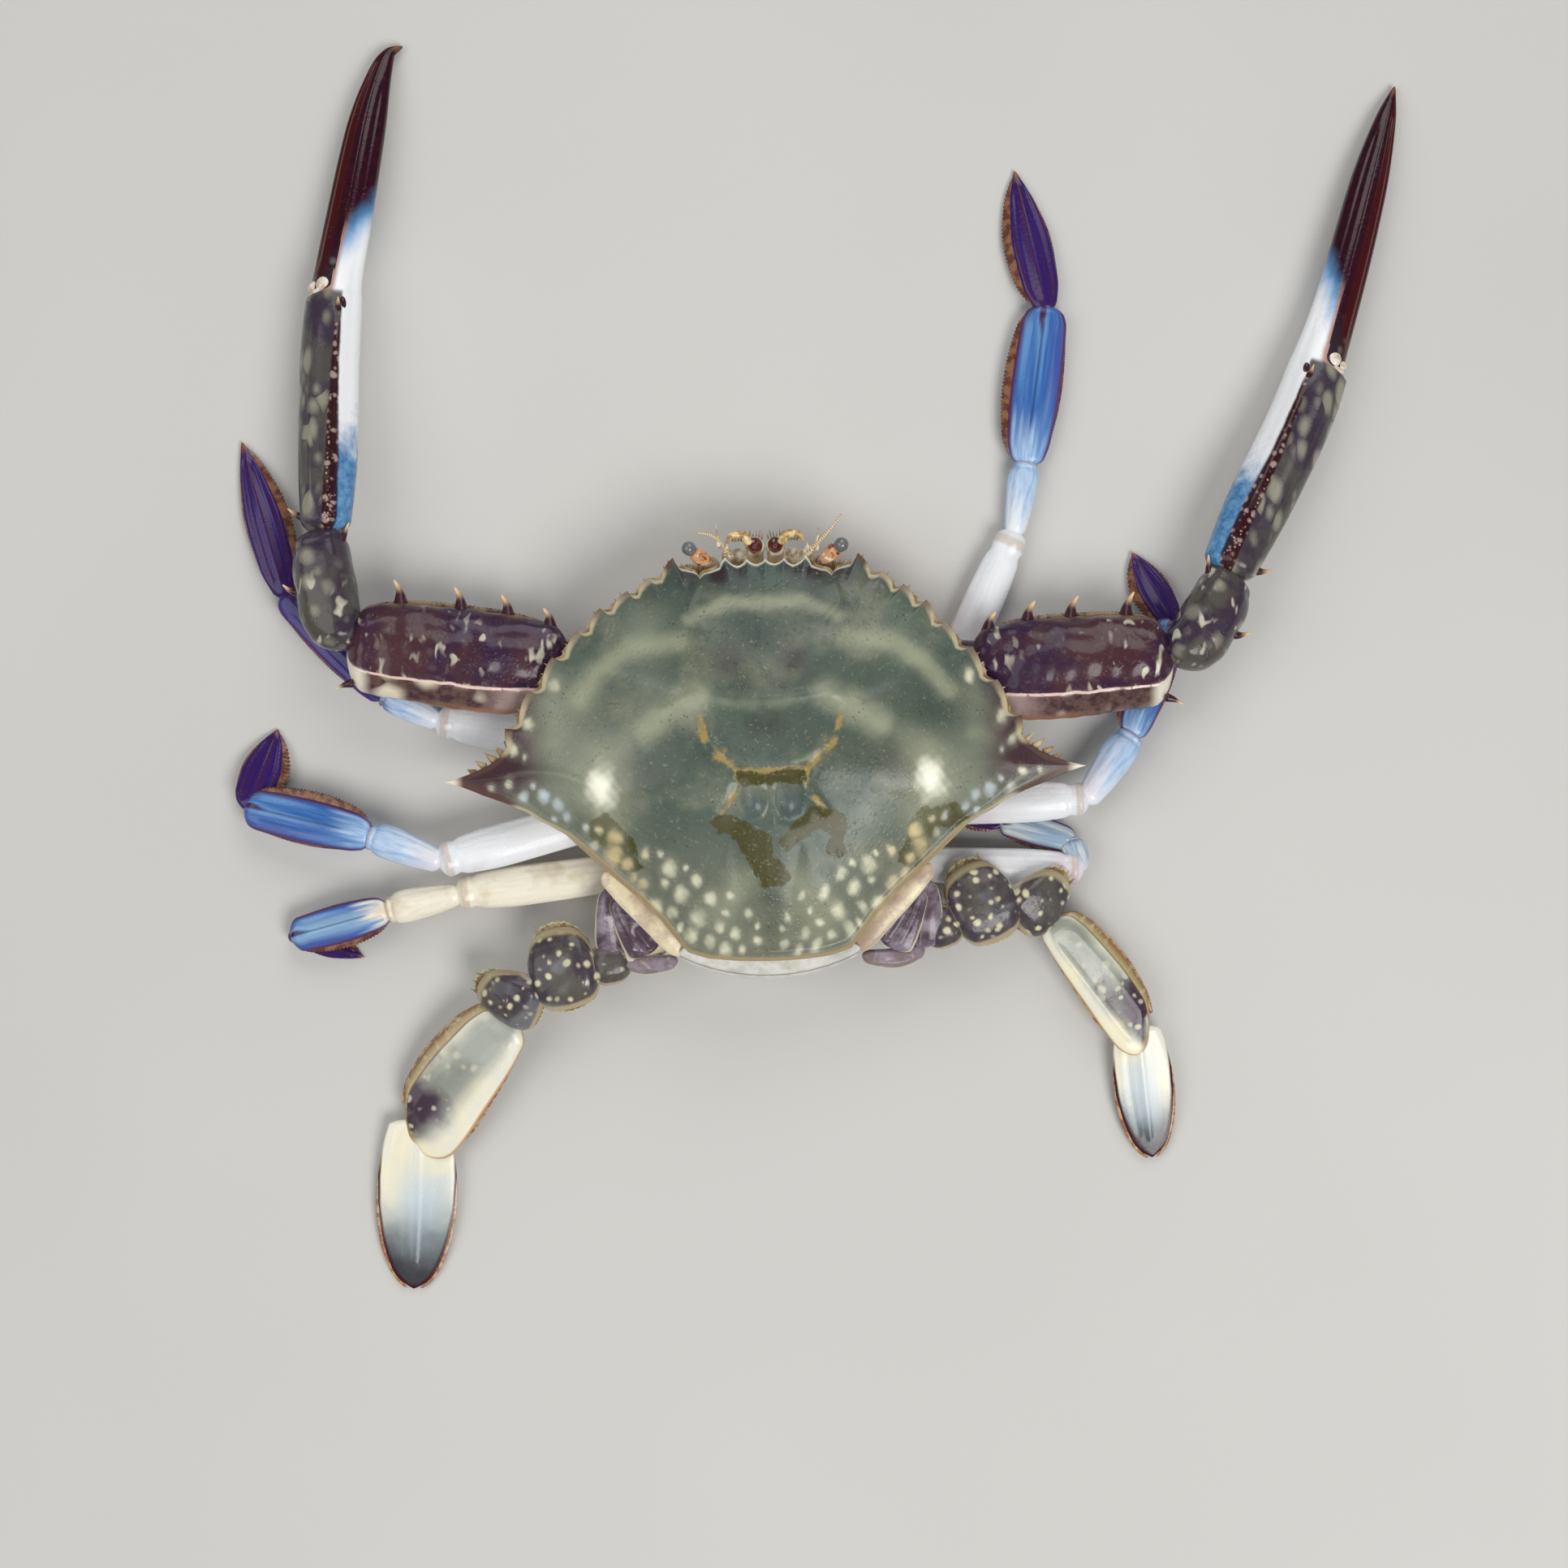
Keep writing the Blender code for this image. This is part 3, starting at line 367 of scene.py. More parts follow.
def faces_of(shell, first):
    """Quads between neighbouring rings, and a fan of triangles to each pole."""
    rows, columns = shell["rings"].shape[:2]
    ring = first + np.arange(rows * columns).reshape(rows, columns)
    beside = np.roll(ring, -1, axis=1)
    quads = np.stack([ring[:-1], beside[:-1], beside[1:], ring[1:]], -1).reshape(-1, 4)
    start = np.full(columns, first + rows * columns)
    fans = np.concatenate([np.stack([beside[0], ring[0], start], -1),
                           np.stack([ring[-1], beside[-1], start + 1], -1)])
    return quads, fans


def volume_of(vertices, quads, fans):
    """Signed volume inside the faces, as a sum of corner triangles."""
    triangles = np.concatenate([quads[:, :3], quads[:, [0, 2, 3]], fans])
    a, b, c = (vertices[triangles[:, k]] for k in range(3))
    return np.einsum("ij,ij->", a, np.cross(b, c)) / 6


def in_world(points, side):
    """(out, ahead, up) in millimetres to metres in the frame, kept in the solids' box.

    The middle of the front leans a little towards the right side.
    """
    points = np.array(points, float)
    lean = smooth_step(34, 56, points[..., 1]) * (1 - smooth_step(34, 62, np.abs(points[..., 0])))
    points[..., 0] -= FRONT_LEAN * lean * (1 if side == "left" else -1)
    low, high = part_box("carapace")
    shift = np.array([(low.x + high.x) / 2, high.y + REAR_EDGE * MM, 0])
    across = MM if side == "left" else -MM
    return np.clip(points * np.array([across, -MM, MM]) + shift, CAD_BOX[0], CAD_BOX[1])


def add_object(name, data):
    made = bpy.data.objects.new(name, data)
    bpy.context.scene.collection.objects.link(made)
    return made


def make_piece(name, shells, finish, nodes, side="left"):
    """One mesh of several closed shells, facing outwards, with their fields as attributes."""
    vertices, faces, first = [], [], 0
    fields = {}
    for shell in shells:
        points = np.concatenate([shell["rings"].reshape(-1, 3), shell["poles"]])
        placed = in_world(points, side)
        quads, fans = faces_of(shell, 0)
        if volume_of(placed - placed.mean(0), quads, fans) < 0:
            quads, fans = quads[:, ::-1], fans[:, ::-1]
        vertices.append(placed)
        faces += (quads + first).tolist() + (fans + first).tolist()
        for field, value in shell["fields"].items():
            fields.setdefault(field, []).append((first, np.r_[value.ravel(), shell["ends"][field]]))
        first += len(points)
    mesh = bpy.data.meshes.new(name)
    mesh.from_pydata(np.concatenate(vertices), [], faces)
    mesh.shade_smooth()
    for field, parts in fields.items():
        values = np.zeros(first, np.float32)
        for begin, part in parts:
            values[begin:begin + len(part)] = part
        mesh.attributes.new(field, "FLOAT", "POINT").data.foreach_set("value", values)
    mesh.materials.append(shell_material(finish))
    made = add_object(name, mesh)
    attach(made, "root")
    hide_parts(*nodes)
    FINISHES[finish][1]


def side_piece(side, name, shells, finish, node):
    """A piece of one side that replaces that side's node."""
    make_piece(f"{side}_{name}", shells, finish, [f"{side}_{node}"], side)


def spike(base, along, length, radius, lean=0, fields=None, sides=12, steps=12):
    """A bent cone: the section shrinks from the base to a fine tip."""
    base, along = np.asarray(base, float), unit(np.asarray(along, float))
    corners = np.array([base - along * radius * 0.8, base + along * length * 0.45,
                        base + along * length + lean])
    rows = [(0, radius, radius * 0.9), (0.4, radius * 0.62, radius * 0.58),
            (0.8, radius * 0.24), (1, radius * 0.1)]
    return shell_along(corners, rows, (radius * 0.6, 0.3), sides, steps,
                       fields={"tip": eased(steps)[:, None], **(fields or {})})


def bead(centre, radii, fields=None, sides=10, steps=8, turn=0):
    """An ellipsoid: circles whose radius follows the cosine of their height."""
    lat = np.pi * (np.arange(steps + 1) / steps - 0.5)[:, None]
    lon = round_angles(sides)
    x = np.cos(lat) * np.cos(lon) * radii[0]
    y = np.cos(lat) * np.sin(lon) * radii[1]
    z = np.sin(lat) * np.ones_like(lon) * radii[2]
    c, s = math.cos(turn), math.sin(turn)
    points = np.stack([x * c + y * s, y * c - x * s, z], -1) + np.asarray(centre, float)
    found = {"along": 0, "bead": 1, **(fields or {})}
    return closed_shell(points, {name: np.full_like(x, value) for name, value in found.items()})


def edge_strip(corners, rows, edge, width, span, thickness=0.5, teeth=0, drop=0, steps=150):
    """A thin strip along the fore (1) or aft (-1) edge of a limb piece.

    Its width is a half sine over the span times a fine saw wave of so many teeth.
    """
    inside = np.linspace(span[0], span[1], steps + 1)
    centre, _along, fore, up, _total = line_frame(corners, inside)
    shape = section_at(rows, inside)
    reach = shape[:, 0] if edge > 0 else -shape[:, 1]
    t = np.linspace(0, 1, steps + 1)
    swell = np.sqrt(np.clip(np.sin(np.pi * t), 0, 1))
    saw = 1 - 0.22 * np.abs(((t * teeth) % 1) - 0.5) * 2
    broad = width * swell * saw
    angle = round_angles(12)
    c, s = np.cos(angle), np.sin(angle)
    across = np.where(c * edge > 0, c * broad[:, None], c * 0.9)
    height = s * thickness / 2 * (0.35 + 0.65 * (1 - np.clip(c * edge, 0, 1)))
    lean = across + (reach - edge * 0.5)[:, None]
    points = (centre[:, None] + lean[..., None] * fore[:, None]
              + (height - drop)[..., None] * up[:, None])
    ones = np.ones_like(lean)
    return closed_shell(points, {"along": inside[:, None] * ones, "across": edge * ones,
                                 "hair": ones, "reach": np.clip(c * edge, 0, 1) * ones})


def scaled(rows, half, thick):
    """Rows given as shares of a limb's half-width and thickness, in millimetres."""
    return [(p, a * half, b * half, u * thick, d * thick) for p, a, b, u, d in full_rows(rows)]


SPAN_FADE = 0.08


def bumps(*rows):
    """Ridges along a limb, or grooves of negative height: (angle, width, height, from, to).

    Each is a bell curve round its angle in degrees that fades out at both ends of its span.
    """
    def relief(place, angle):
        total = 0
        for at, width, height, near, far in rows:
            turned = (angle - math.radians(at) + np.pi) % math.tau - np.pi
            begun, ended = (smooth_step(at, at + SPAN_FADE, place)
                            for at in (near, far - SPAN_FADE))
            total = total + height * bell(turned, math.radians(width)) * begun * (1 - ended)
        return total
    return relief


def collars(*rows):
    """Rings round a limb, or grooves of negative height: (place, width, height)."""
    return lambda place, angle: sum(height * bell(place - at, width) for at, width, height in rows)


# Node shorthand

class Shade:
    """A node's output; arithmetic on it adds Math nodes."""

    def __init__(self, tree, socket):
        self.tree, self.socket = tree, socket

    def maths(self, operation, other=0):
        return wire(self.tree, "Math", {0: self, 1: other}, operation=operation)

    def __add__(self, other):
        return self.maths("ADD", other)

    def __sub__(self, other):
        return self.maths("SUBTRACT", other)

    def __mul__(self, other):
        return self.maths("MULTIPLY", other)

    def __truediv__(self, other):
        return self.maths("DIVIDE", other)

    def __abs__(self):
        return self.maths("ABSOLUTE")

    def ease(self, low, high):
        """Smooth rise from 0 at low to 1 at high; low may be above high for a fall."""
        return wire(self.tree, "MapRange", {"Value": self, "From Min": low, "From Max": high},
                    interpolation_type="SMOOTHSTEP")

    def ramp(self, low, high, first, last):
        """Straight change from first at low to last at high."""
        return wire(self.tree, "MapRange", {"Value": self, "From Min": low, "From Max": high,
                                            "To Min": first, "To Max": last})

    def mix(self, first, second):
        """The second colour where this mask is 1 and the first where it is 0."""
        colours = [c if isinstance(c, Shade) else (*c[:3], 1) for c in (first, second)]
        return wire(self.tree, "Mix", {0: self, 6: colours[0], 7: colours[1]}, 2, data_type="RGBA")

    def coated(self, *coats):
        """This colour under coats of (mask, colour), the last one on top."""
        top = self
        for mask, colour in coats:
            top = mask.mix(top, colour)
        return top


def wire(tree, kind, values, output=0, **settings):
    """Add a shader node and give back an output; each value is a constant or a Shade to link."""
    node = tree.nodes.new("ShaderNode" + kind)
    for key, value in settings.items():
        setattr(node, key, value)
    for key, value in values.items():
        if isinstance(value, Shade):
            tree.links.new(value.socket, node.inputs[key])
        else:
            node.inputs[key].default_value = value
    return Shade(tree, node.outputs[output])


class Brush:
    """What a surface is painted with: its coordinates, the piece's own fields, noise and spots."""

    def __init__(self, tree, coords):
        self.tree, self.coords = tree, coords

    def __getitem__(self, name):
        """One of the piece's own fields."""
        return wire(self.tree, "Attribute", {}, "Fac", attribute_name=name)

    def fields(self, *names):
        return (self[name] for name in names)

    def moved(self, operation, values):
        """A brush with its coordinates changed by a vector operation."""
        return Brush(self.tree, wire(self.tree, "VectorMath", {0: self.coords, **values},
                                     operation=operation))

    def stretched(self, *shares):
        return self.moved("MULTIPLY", {1: shares})

    def noise(self, scale, detail=3, roughness=0.55, distortion=0, output="Fac"):
        return wire(self.tree, "TexNoise",
                    {"Vector": self.coords, "Scale": scale, "Detail": detail,
                     "Roughness": roughness, "Distortion": distortion}, output)

    def cells(self, scale, output="Distance"):
        return wire(self.tree, "TexVoronoi", {"Vector": self.coords, "Scale": scale}, output)

    def streaks(self, scale_along, scale_across, detail):
        """Noise drawn out along a limb, from its own along, joint, across and height fields."""
        places = wire(self.tree, "CombineXYZ",
                      {0: (self["along"] + self["joint"]) * scale_along,
                       1: self["across"] * scale_across, 2: self["height"] * 1.5})
        return Brush(self.tree, places).noise(1, detail, 0.5, 0.2)

    def group(self, title, output="Mask", **values):
        """An output of a shared node group, which is made the first time."""
        shared = bpy.data.node_groups.get(title) or make_group(title)
        return wire(self.tree, "Group", {"Vector": self.coords, **values}, output, node_tree=shared)

    def spots(self, scale, size, soft):
        return self.group("pale_spots", Scale=scale, Size=size, Soft=soft)

    def flecks(self, scale):
        return self.group("dark_flecks", Scale=scale)


def spot_mask(brush, scale, size, soft):
    """Round soft spots of uneven size: one in each cell of a warped cell pattern."""
    warp = Brush(brush.tree, brush.noise(160, 2, 0.5, output="Color"))
    shift = warp.moved("SUBTRACT", {1: (0.5, 0.5, 0.5)}).moved("SCALE", {"Scale": 0.0022})
    warped = brush.moved("ADD", {1: shift.coords})
    cells = warped.cells(scale)
    chance = Shade(brush.tree, cells.socket.node.outputs["Color"])
    uneven = wire(brush.tree, "SeparateColor", {0: chance}) * 0.75
    reach = size * (uneven + 0.5)
    return {"Mask": cells.ease(reach, reach - soft)}


def grain_height(brush, scale, wet_scale):
    """Fine shell grain: raised cell centres broken by noise, and patches of wet and dry."""
    raised = brush.cells(scale).ease(0.55, 0.05)
    height = raised * brush.noise(150).ease(0.35, 0.65) + brush.noise(2600, 2) * 0.25
    return {"Height": height, "Wet": brush.noise(wet_scale, 4, 0.5).ease(0.38, 0.66)}


def fleck_mask(brush, scale, amount):
    """Tiny dark pits scattered in patches."""
    dots = brush.cells(scale).ease(0.26, 0.14)
    return {"Mask": dots * brush.noise(90).ease(0.5, 0.68) * amount}


GROUPS = {
    "pale_spots": (spot_mask, {"Scale": 120, "Size": 0.35, "Soft": 0.12}),
    "shell_grain": (grain_height, {"Scale": 900, "Wet Scale": 60}),
    "dark_flecks": (fleck_mask, {"Scale": 700, "Amount": 0.5}),
}


def make_group(title):
    """A node group with float inputs beside its vector, and an output for each mask it makes."""
    work, inputs = GROUPS[title]
    tree = bpy.data.node_groups.new(title, "ShaderNodeTree")
    add = tree.interface.new_socket
    add("Vector", in_out="INPUT", socket_type="NodeSocketVector")
    for label, default in inputs.items():
        add(label, in_out="INPUT", socket_type="NodeSocketFloat").default_value = default
    given = tree.nodes.new("NodeGroupInput").outputs
    made = work(Brush(tree, Shade(tree, given["Vector"])),
                *(Shade(tree, given[key]) for key in inputs))
    for label in made:
        add(label, in_out="OUTPUT", socket_type="NodeSocketFloat")
    end = tree.nodes.new("NodeGroupOutput")
    for label, shade in made.items():
        tree.links.new(shade.socket, end.inputs[label])
    return tree


def painted_material(name, paint):
    """A material whose base colour comes from paint(brush)."""
    made = bpy.data.materials.new(name)
    made.use_nodes = True
    tree = made.node_tree
    surface = tree.nodes["Principled BSDF"]
    brush = Brush(tree, wire(tree, "TexCoord", {}, "Object"))
    tree.links.new(paint(brush).socket, surface.inputs["Base Color"])
    return made, surface, brush


SPECULAR = 0.2
GRAIN_STRENGTH = 0.7


def shell_material(name):
    """A wet shell of the finishes' table: grained, and glossier where it is wet."""
    if name in bpy.data.materials:
        return bpy.data.materials[name]
    paint, _slot, rough, depth, coat, grain, gloss = FINISHES[name]
    made, surface, brush = painted_material(name, paint)
    height = brush.group("shell_grain", "Height", Scale=grain)
    wet = Shade(height.tree, height.socket.node.outputs["Wet"])
    bump = wire(height.tree, "Bump", {"Height": height, "Strength": GRAIN_STRENGTH,
                                      "Distance": sizes().granule_depth * depth})
    made.node_tree.links.new(wet.ramp(0, 1, rough[1], rough[0]).socket, surface.inputs["Roughness"])
    made.node_tree.links.new(bump.socket, surface.inputs["Normal"])
    for key, value in (("Coat Weight", coat), ("Coat Roughness", gloss),
                       ("Specular IOR Level", SPECULAR)):
        surface.inputs[key].default_value = value
    return made


# Carapace

def side_notches():
    """Bottoms of the notches in front of teeth 2 to 8."""
    tips = np.array(TEETH)
    line = tips[1:-1] - tips[:-2]
    inward = np.stack([line[:, 1], -line[:, 0]], 1) / np.linalg.norm(line, axis=1)[:, None]
    return tips[1:-1] - line * NOTCH_PLACE + inward * NOTCH_DEPTH


def bow(near, far, push, pitch=0.62):
    """Points from near up to far along an arc pushed to its left by so many millimetres."""
    near, far = np.asarray(near, float), np.asarray(far, float)
    line = far - near
    length = np.linalg.norm(line)
    left = np.array([-line[1], line[0]]) / length
    middle = (near + far) / 2 + left * push * 2
    t = np.linspace(0, 1, max(3, int(round(length / pitch))) + 1)[:-1, None]
    return (1 - t) ** 2 * near + 2 * t * (1 - t) * middle + t * t * far


def margin_half():
    """The left half of the toothed outline, from the front's middle to the rear's middle."""
    corners = [(p, push) for p, push in zip(FRONT, (-0.3, -0.3, -0.4, -0.4, 0.2, -0.2, 0.15, 0.15,
                                                    0.1, -0.3))]
    notches = side_notches()
    for tip, notch in zip(TEETH, notches):
        corners += [(tip, 0.75), (tuple(notch), -0.55)]
    corners += [(TEETH[-2], 0.3), (SPINE_NOTCH[0], -0.5), (SPINE_NOTCH[1], -0.5), (TEETH[-1], -0.3),
                (REAR[0], 0)]
    corners += [(p, 0.06) for p in REAR[1:]] + [((0, REAR_EDGE), 0)]
    arcs = [bow(near, far[0], push) for (near, push), far in zip(corners, corners[1:])]
    return np.concatenate(arcs + [np.array([(0, REAR_EDGE)])])


def smooth_reach(angle):
    """Distance from the dome's middle to the smooth outline through the notches.

    The distances along the corners' directions are joined smoothly and averaged with a narrow
    bell curve of the direction.
    """
    rear = [p for p in REAR if p[0] < 71]
    half = [(0, 58.2), (14, 57.6), (23, 56.8), *map(tuple, side_notches()), (71, 8.2),
            (72, 1), *rear, (0, REAR_EDGE)]
    half = np.array(half)
    turn = np.arctan2(half[:, 0], half[:, 1] - CENTRE_AHEAD)
    span = np.hypot(half[:, 0], half[:, 1] - CENTRE_AHEAD)
    turn = np.r_[-turn[1], turn, math.tau - turn[-2]]
    span = np.r_[span[1], span, span[-2]]
    around = np.linspace(0, math.pi, 1441)
    found = smooth_through(turn, span, around)[:, 0]
    reach = OUTLINE_BLUR[0]
    padded = np.r_[found[reach:0:-1], found, found[-2:-2 - reach:-1]]
    return np.interp(np.abs(angle), around, averaged(padded, *OUTLINE_BLUR))


def rim_height(out):
    """Height of the toothed rim: down by a share of the drop, the distance out to the power 0.8."""
    return RIM_MIDDLE - RIM_DROP * np.minimum(np.abs(out) / HALF_SPAN, 1) ** 0.8


def line_distance(out, ahead, line):
    """Distance in millimetres from each place to a bent line."""
    best = np.full(np.shape(out), 1e9)
    line = np.asarray(line, float)
    for near, far in zip(line, line[1:]):
        step = far - near
        share = np.clip(((out - near[0]) * step[0] + (ahead - near[1]) * step[1]) / (step @ step),
                        0, 1)
        best = np.minimum(best, np.hypot(out - near[0] - share * step[0],
                                         ahead - near[1] - share * step[1]))
    return best


def swelling(out, ahead, place, spread, height):
    """A bell-shaped swelling round a place."""
    return height * bell(np.hypot(out - place[0], ahead - place[1]), spread)


def ridge(out, ahead, line, width, height):
    """A bell-shaped ridge along a bent line."""
    return height * bell(line_distance(out, ahead, line), width)


# Relief of the back: (measured from the midline 0 or the grooves' middle 1, place, spread, height)
SWELLINGS = (
    (0, (0, 28), 15, 0.35), (0, (15, 33), 8, 0.4), (0, (0, -10), 8, 0.3), (1, (5, -8.3), 3, 0.8),
    (0, (37, -8), 15, 0.7), (0, (22, -30), 9, 0.4), (0, (38, 32), 8, 0.35), (1, (4, 13), 4, 0.4),
    (0, (0, 52), 6, -0.6), (0, (26, 46), 6, -0.4))
# Ridges, or grooves of negative height: (line, width, height)
RIDGES = (
    (((17, 14), (24, 21), (38, 27), (52, 30)), 2.6, -0.45),
    (((9, -20), (7, -32), (9, -44)), 2.4, -0.4),
    (((80, 1), (68, 2.6), (57, 1.4), (47, -2.6)), 1.6, 0.8),
    (((0, 20.5), (10, 21), (18, 22.5), (27, 18.5)), 1.3, 0.5),
    (((19, 53), (21, 47), (17, 42)), 1.2, 0.35))


def back_relief(out, ahead, share):
    """Swellings, grooves and ridges of the back in millimetres, fading out at the margin."""
    reach = np.abs(out), np.abs(out - MIDDLE)
    found = sum(swelling(reach[central], ahead, *row) for central, *row in SWELLINGS)
    for line in GROOVE:
        found -= ridge(reach[1], ahead, line, 1.7, 0.65)
    for row in RIDGES:
        found += ridge(reach[0], ahead, *row)
    return found * (1 - smooth_step(0.88, 0.99, share)) * sizes().region_relief


def warped(out, ahead, strength):
    """Places shifted by a few crossing waves, so that markings are uneven."""
    shift_out = np.sin(out * 0.9 + ahead * 0.53) + 0.6 * np.sin(out * 2.1 - ahead * 1.7 + 1.3)
    shift_ahead = np.sin(ahead * 0.84 - out * 0.61 + 2) + 0.6 * np.sin(ahead * 2.3 + out * 1.5)
    return out + strength * shift_out, ahead + strength * shift_ahead


def back_markings(out, ahead):
    """Fields of the pale spots, bands and grooves; each is 1 in its middle and 0 at its edge."""
    across = np.abs(out)
    other = np.where(out < 0, 1, 0)
    wide, front = warped(out, ahead, 0.5)
    drift_out = other * (0.9 * np.sin(ahead * 0.31) - 0.2)
    drift_ahead = other * 1.1 * np.sin(across * 0.21 + 0.7)
    wide, front = np.abs(wide) + drift_out, front + drift_ahead
    calm, level = warped(out, ahead, 0.22)
    calm = np.abs(calm)
    round_out, round_ahead = calm + drift_out, level + drift_ahead
    spot = np.full(np.shape(out), -1)
    for place_out, place_ahead, radius in PALE_SPOTS:
        spot = np.maximum(spot, 1 - np.hypot(round_out - place_out,
                                             (round_ahead - place_ahead) * 0.8) / (radius * 1.12))
    band = np.zeros(np.shape(out))
    for line, width, strength in PALE_BANDS:
        band = np.maximum(band, ridge(calm, level, line, width, strength))
    away = np.hypot((wide - BRIGHT_PATCH[0]) * 1.2, (front - BRIGHT_PATCH[1]) * 0.8)
    central = np.abs(out - MIDDLE)
    groove = np.zeros(np.shape(out))
    for line in GROOVE[:3]:
        groove = np.maximum(groove, ridge(central, ahead, line, 1.45, 1))
    groove = np.maximum(groove, 0.5 * bell(central - 15, 6) * bell(ahead - 8, 9))
    wet = np.full(np.shape(out), -1)
    for line, reach in WET_PATCHES:
        wet = np.maximum(wet, 1 - line_distance(out, ahead, line) / reach)
    dark = np.zeros(np.shape(out))
    for row in DARK_SMUDGES:
        dark = np.maximum(dark, swelling(calm, level, row[:2], *row[2:]))
    blue = swelling(central, ahead, (5, -8.2), 3.6, 1)
    deep, pale = (sum(swelling(out, ahead, row[:2], *row[2:]) for row in rows)
                  for rows in (DEEP_AREAS, PALE_AREAS))
    return {"spot": spot, "band": band, "bright": np.clip(1 - away / BRIGHT_PATCH[2], -1, 1),
            "groove": groove, "wet": wet, "dark": dark, "bumps": blue, "deep": deep, "pale": pale,
            "halo": bell(away, 9)}


def make_carapace():
    """The back and its tan lower edge as one closed shell.

    A column runs from the dome's middle to each point of the toothed outline. At a share s of it
    the height is the rim's plus (top - rim) (1 - s squared) plus the relief; the teeth stand out
    of the smooth outline over the last fifth. Below the rim the column drops to a smooth flange
    and then inwards to the flat underside.
    """
    half = margin_half()
    columns = max(120, sizes().shell_columns)
    left = half[np.linspace(0, len(half) - 1, min(len(half), columns)).round().astype(int)]
    right = left[-2:0:-1] * np.array([-1, 1])
    margin = np.concatenate([left, right])
    angle = np.unwrap(np.arctan2(margin[:, 0], margin[:, 1] - CENTRE_AHEAD))
    turn, reach = np.sign(angle[-1] - angle[0]) * math.tau, COLUMN_BLUR[0]
    even = averaged(np.r_[angle[-reach:] - turn, angle, angle[:reach] + turn], *COLUMN_BLUR)
    smooth = smooth_reach(np.angle(np.exp(1j * angle)))
    inside = smooth_reach(np.angle(np.exp(1j * even)))
    full = np.hypot(margin[:, 0], margin[:, 1] - CENTRE_AHEAD)
    excess = full - smooth
    shares = 1 - (1 - np.linspace(0, 1, 100)[1:]) ** 1.3
    s = shares[::-1, None]
    blend = np.clip((s - TEETH_START) / (1 - TEETH_START), 0, 1) ** TEETH_POWER
    follow = smooth_step(FOLLOW_START, 1, s)
    heading = even * (1 - follow) + angle * follow
    distance = s * (inside * (1 - follow) + smooth * follow) + blend * excess
    out = distance * np.sin(heading)
    ahead = CENTRE_AHEAD + distance * np.cos(heading)
    rim = rim_height(out)
    top = DOME_TOP - SKIN_DROP
    up = rim - 0.25 + (top - rim) * (1 - s ** 2) + back_relief(out, ahead, s)
    rear = smooth_step(2, -6, ahead)
    up += rear * (0.5 * bell(s - 0.975, 0.012) - 0.45 * bell(s - 0.945, 0.016))
    jut = np.clip(excess / 4, 0, 1)
    toothed = smooth_step(4, 12, margin[:, 1]) * (np.abs(margin[:, 0]) > 13)
    flange = np.minimum(smooth + 2.1 * toothed, full + 1.2)
    level = rim_height(margin[:, 0])
    lower = []
    for reach, height, tan in ((inside * 0.5, PARTING, 0), (inside * 0.9, PARTING, 0),
                               (inside * 0.93, 22.6, 1),
                               (np.minimum(flange - 1.6, full), level - 4.4, 1),
                               (flange - 0.5, level - 3.7, 1), (flange, level - 3, 1),
                               (flange - 0.2, level - 2.4, 1),
                               (np.minimum(flange - 1.2, full - 1.2), level - 2.2, 1),
                               (full - 0.9, level - 1.9, 0.4), (full - 0.25, level - 1.35, 0),
                               (full, level - 0.8, 0)):
        height = np.broadcast_to(np.asarray(height, float), full.shape)
        way = even if len(lower) < 3 else angle
        lower.append((reach * np.sin(way), CENTRE_AHEAD + reach * np.cos(way), height,
                      np.full(full.shape, tan)))
    under = np.array(lower)
    rings = np.concatenate([np.moveaxis(under[:, :3], 1, -1), np.stack([out, ahead, up], -1)])
    count = len(under)
    every = {"share": np.r_[np.ones((count, len(full))), np.broadcast_to(s, out.shape)],
             "tan": np.r_[under[:, 3], np.zeros(out.shape)],
             "jut": np.broadcast_to(jut, (len(rings), len(full))).copy(),
             "out": np.abs(rings[..., 0]), "ahead": rings[..., 1]}
    every.update(back_markings(rings[..., 0], rings[..., 1]))
    first = {name: value[:1] * 0 + value[:1].mean() for name, value in every.items()}
    bottom = np.tile([[[0, CENTRE_AHEAD, PARTING]]], (1, len(full), 1))
    peak = np.tile([[[0, CENTRE_AHEAD, top - 0.25]]], (1, len(full), 1))
    fields = {name: np.concatenate([first[name], value, value[-1:] * 0 + value[-1].mean()])
              for name, value in every.items()}
    shell = closed_shell(np.concatenate([bottom, rings, peak]), fields)
    plain = {name: 0 for name in fields}
    plain.update(tan=1, share=1, spot=-1, bright=-1)
    spikes = []
    for side in (1, -1):
        for out_at, ahead_at, length, heading in FLANGE_SPINES:
            turn = math.radians(heading)
            spikes.append(spike((side * out_at * 0.985, ahead_at - 1.4, rim_height(out_at) - 2.6),
                                (side * math.sin(turn), math.cos(turn), 0.05), length, 1.5, 0,
                                plain, 14, 12))
        for near, notch in zip(TEETH, side_notches()):
            for share in (0.3, 0.62, 0.9):
                place = np.array(near) * (1 - share) + notch * share
                away = unit(place - (0, CENTRE_AHEAD))
                spikes.append(spike((side * place[0], place[1], rim_height(place[0]) - 2.9),
                                    (side * away[0], away[1] + 0.15, 0), 1.9, 0.7, 0, plain, 10, 8))
    make_piece("carapace_shell", [shell], "carapace_shell", ["carapace"])
    make_piece("carapace_flange_spikes", spikes, "carapace_shell", ["carapace"])


